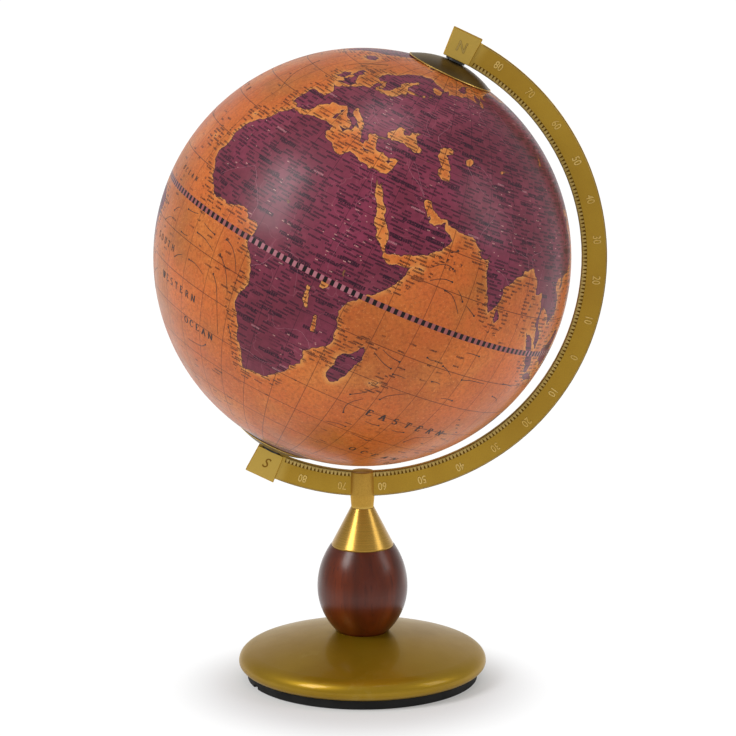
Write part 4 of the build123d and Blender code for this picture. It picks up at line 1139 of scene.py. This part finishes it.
def moulded(name, dark, light, rough_low, rough_high):
    """Plastic or rubber with a fine moulded skin, greyer where it is rubbed."""
    paint = Paint(name)
    tone = paint.noise(50, 4, 0.6).ramp(0.3, 0.7)
    paint.start(tone, dark, light)
    paint.colour = paint.mix(paint.edge_wear(0.62) * 0.5, paint.colour, brighter(light, 2.2, 0.01))
    paint.bump(paint.noise(1400, 3, 0.6), 0.0001, 0.4)
    return paint.finish(Roughness=tone.ramp(0, 1, rough_low, rough_high), Specular_IOR_Level=0.25)


def felt_material():
    paint = Paint("felt")
    fuzz = paint.noise(900, 5, 0.75)
    paint.start(fuzz.ramp(0.3, 0.7), (18, 18, 20), (48, 47, 50))
    paint.tint(paint.noise(60, 3).ramp(0.5, 0.7) * 0.4, 62, 60, 60)
    paint.bump(fuzz, 0.0005, 0.8)
    return paint.finish(Roughness=fuzz.ramp(0.2, 0.8, 0.85, 1), Sheen_Weight=0.5)


def dress_cad_nodes(card):
    """Gives each CAD node its material by the slot that the record names for it."""
    looks = {
        "printed_map": card,
        "card_shell": card,
        "cap_bronze": metal("cap_bronze", (84, 66, 34), (112, 92, 52), 0.34, 0.46),
        "bearing_plastic": moulded("bearing_plastic", (196, 190, 176), (216, 210, 198), 0.4, 0.5),
        "black_plastic": moulded("black_plastic", (16, 16, 17), (26, 26, 27), 0.34, 0.46),
        "steel": metal("steel", (104, 104, 106), (148, 149, 152), 0.24, 0.38, 900),
        "satin_gold": satin_gold("satin_gold", (164, 120, 10), (178, 136, 26), 0.8),
        "turned_gold": turned_gold(),
        "gold_lacquer": gold_lacquer(),
        "mahogany": mahogany(),
        "iron": metal("iron", (44, 42, 40), (66, 62, 58), 0.5, 0.7, 300),
        "black_rubber": moulded("black_rubber", (3, 3, 3), (9, 9, 8), 0.6, 0.8),
        "felt": felt_material(),
    }
    own_look = {"stem_head": satin_gold("pale_gold", (184, 140, 54), (198, 156, 70), 0.6)}
    for subpart in frame["record"]["subparts"]:
        look = own_look.get(subpart["node"], looks[subpart["material_slot"]])
        node = frame["nodes"][subpart["node"]]
        if not node.material_slots:
            node.data.materials.append(look)
        for place in node.material_slots:
            place.link = "OBJECT"
            place.material = look


# -------- studio


def softbox(name, azimuth, elevation, distance, size, power, glossy=True):
    """A rectangular area lamp that faces the ball. Azimuth 0 is the front, and positive to the right."""
    around, up = azimuth * DEGREE, elevation * DEGREE
    away = Vector((math.sin(around) * math.cos(up), -math.cos(around) * math.cos(up), math.sin(up)))
    light = bpy.data.lights.new(name, "AREA")
    light.shape = "RECTANGLE"
    light.size, light.size_y = size
    light.energy = power
    lamp = bpy.data.objects.new(name, light)
    lamp.location = CENTRE + away * distance
    lamp.rotation_euler = away.to_track_quat("Z", "Y").to_euler()
    lamp.visible_glossy = glossy
    lamp.visible_camera = False
    bpy.context.scene.collection.objects.link(lamp)


def studio():
    softbox("left_softbox", -52, 35, 1.6, (0.55, 0.95), 16)
    softbox("top_softbox", 60, 80, 1.5, (0.6, 0.6), 4.5)
    softbox("right_softbox", 78, 22, 1.7, (0.56, 0.9), 4.6)
    softbox("front_softbox", 26, -7, 2.2, (1.4, 0.5), 12.5, glossy=False)


def white_surroundings():
    """A pale room: brightest at the back and near the floor, and dimmer overhead and in front."""
    world = bpy.data.worlds.new("studio")
    bpy.context.scene.world = world
    world.use_nodes = True
    tree = world.node_tree
    background = tree.nodes["Background"]
    direction = tree.nodes.new("ShaderNodeTexCoord").outputs["Generated"]
    split = tree.nodes.new("ShaderNodeSeparateXYZ")
    tree.links.new(direction, split.inputs[0])
    depth = Wire(tree, split.outputs[1])
    height = Wire(tree, split.outputs[2])
    level = (depth - height * 0.8).ramp(0.1, 0.95, 0.43, 0.96) + height.ramp(-0.26, 0, 0.3, 0)
    path = tree.nodes.new("ShaderNodeLightPath")
    seen = Wire(tree, path.outputs["Is Camera Ray"])
    backdrop = 1.05
    strength = level + seen * (level * -1 + backdrop)
    background.inputs["Color"].default_value = (1.0, 0.995, 0.985, 1)
    tree.links.new(strength.socket, background.inputs["Strength"])


def floor():
    """A pale disc that glows white away from the base, so that only the contact shadow shows."""
    radius = 0.36
    sides = 96
    shadow_forward = 0.03
    turns = [TURN * i / sides for i in range(sides)]
    mesh = bpy.data.meshes.new("floor")
    rim = [(radius * math.cos(a), radius * math.sin(a), -0.2 * MM) for a in turns]
    mesh.from_pydata(rim, [], [tuple(range(sides))])
    ground = bpy.data.objects.new("floor", mesh)
    bpy.context.scene.collection.objects.link(ground)
    paint = Paint("pale_floor")
    flat = paint.node("ShaderNodeMapping", {
        "Vector": paint.place, "Scale": (1, 1, 0), "Location": (0, shadow_forward, 0),
    }).outputs["Vector"]
    away = paint.node("ShaderNodeVectorMath", {"Vector": flat}, operation="LENGTH").outputs["Value"]
    fade = Wire(paint.tree, away).ramp(0.075, 0.152)
    pale = paint.mix(paint.noise(2, 2), (0.57, 0.58, 0.59), (0.61, 0.62, 0.63))
    paint.colour = paint.mix(fade, pale, (0.02, 0.02, 0.02))
    mesh.materials.append(paint.finish(
        Roughness=0.9, Specular_IOR_Level=0.0,
        # The glow is painted light: it lifts the floor to white away from the base, and a faint glow near the base
        # lightens the contact shadow.
        Emission_Color=(1.0, 1.0, 1.0), Emission_Strength=fade * 0.8 + 0.22,
    ))


def camera():
    """The photograph's viewpoint."""
    lens = bpy.data.cameras.new("camera")
    lens.lens = 138.8
    lens.sensor_width = 36
    eye = bpy.data.objects.new("camera", lens)
    eye.location = (0.1053, -2.0151, 0.6209)
    eye.rotation_euler = (79.06 * DEGREE, 0, 2.876 * DEGREE)
    bpy.context.scene.collection.objects.link(eye)
    bpy.context.scene.camera = eye


# -------- the scene


def print_pieces(card):
    """The printed ball with its raised inks."""
    printed_ball([land_material(), sea_material(), card])
    brown = ink_material("brown_ink", (24, 7, 4), (50, 18, 9))
    built("sea_print", brown, "ball", "printed_map", current_strokes, word_strokes)
    plum = ink_material("river_ink", (150, 90, 102), (116, 58, 76))
    built("river_print", plum, "ball", "printed_map", river_strokes)


def gold_pieces():
    """The arc's scale, the blocks' letters and the caps' lips."""
    # Painted highlight: the two pale golds stand in for light on the raised teeth, ridges, figure faces and N.
    raised = scale_gold("scale_gold", (220, 180, 88), (238, 204, 120))
    ladder = scale_gold("highlight_ladder_gold", (180, 150, 78), (206, 178, 108))
    # Painted shade: a dark gold for the field between the teeth, the line along the outer edge, and the outlines
    # round the figures and the N.
    sunk = metal("shade_gold", (74, 50, 10), (94, 66, 16), 0.45, 0.6)
    # Painted shade: a darker gold laid as a thin sheet where the sunk S is shaded.
    engraved = metal("engraved_shade_gold", (104, 74, 24), (126, 92, 36), 0.45, 0.6)
    rims = ((ARC_OUTSIDE - 0.85 * MM, 0.4 * MM), (ARC_INSIDE + 0.65 * MM, 0.4 * MM))
    # The first band is painted shade behind the teeth, the second a painted shade line along the arc's outer edge.
    shade_bands = ((ARC_INSIDE + 2.0 * MM, 3.7 * MM), (ARC_OUTSIDE - 0.28 * MM, 0.32 * MM))
    on_stand = (
        ("degree_ladder", ladder, partial(arc_lines, rings=rims, height=RIDGE), scale_teeth),
        ("ladder_shade_field", sunk, partial(arc_lines, rings=shade_bands, height=FACE_LIFT)),
        ("number_shadow_outlines", sunk, partial(degree_numbers, lift=0)),
        ("number_faces", raised, partial(degree_numbers, lift=FIGURE_LIFT)),
        ("north_shadow_outline", sunk, partial(pole_letter, text="N", pole=1, lift=0)),
        ("north_letter", ladder, partial(pole_letter, text="N", pole=1, lift=FIGURE_LIFT)),
        ("south_letter", engraved, partial(pole_letter, text="S", pole=-1, lift=FACE_LIFT, slant=0.25)),
    )
    for name, material, *steps in on_stand:
        built(name, material, "stand", "satin_gold", *steps)
    caps = (("north_polar_cap", 1), ("south_polar_cap", -1))
    lips = [partial(cap_lip, node=node, pole=pole) for node, pole in caps]
    # The caps' lips take the pale gold, a painted highlight along each cap's edge.
    built("cap_rims", raised, "ball", "cap_bronze", *lips)


camera()
white_surroundings()
studio()
floor()
bpy.context.scene.view_settings.view_transform = "Standard"
grey_card = card_material()
dress_cad_nodes(grey_card)
print_pieces(grey_card)
gold_pieces()
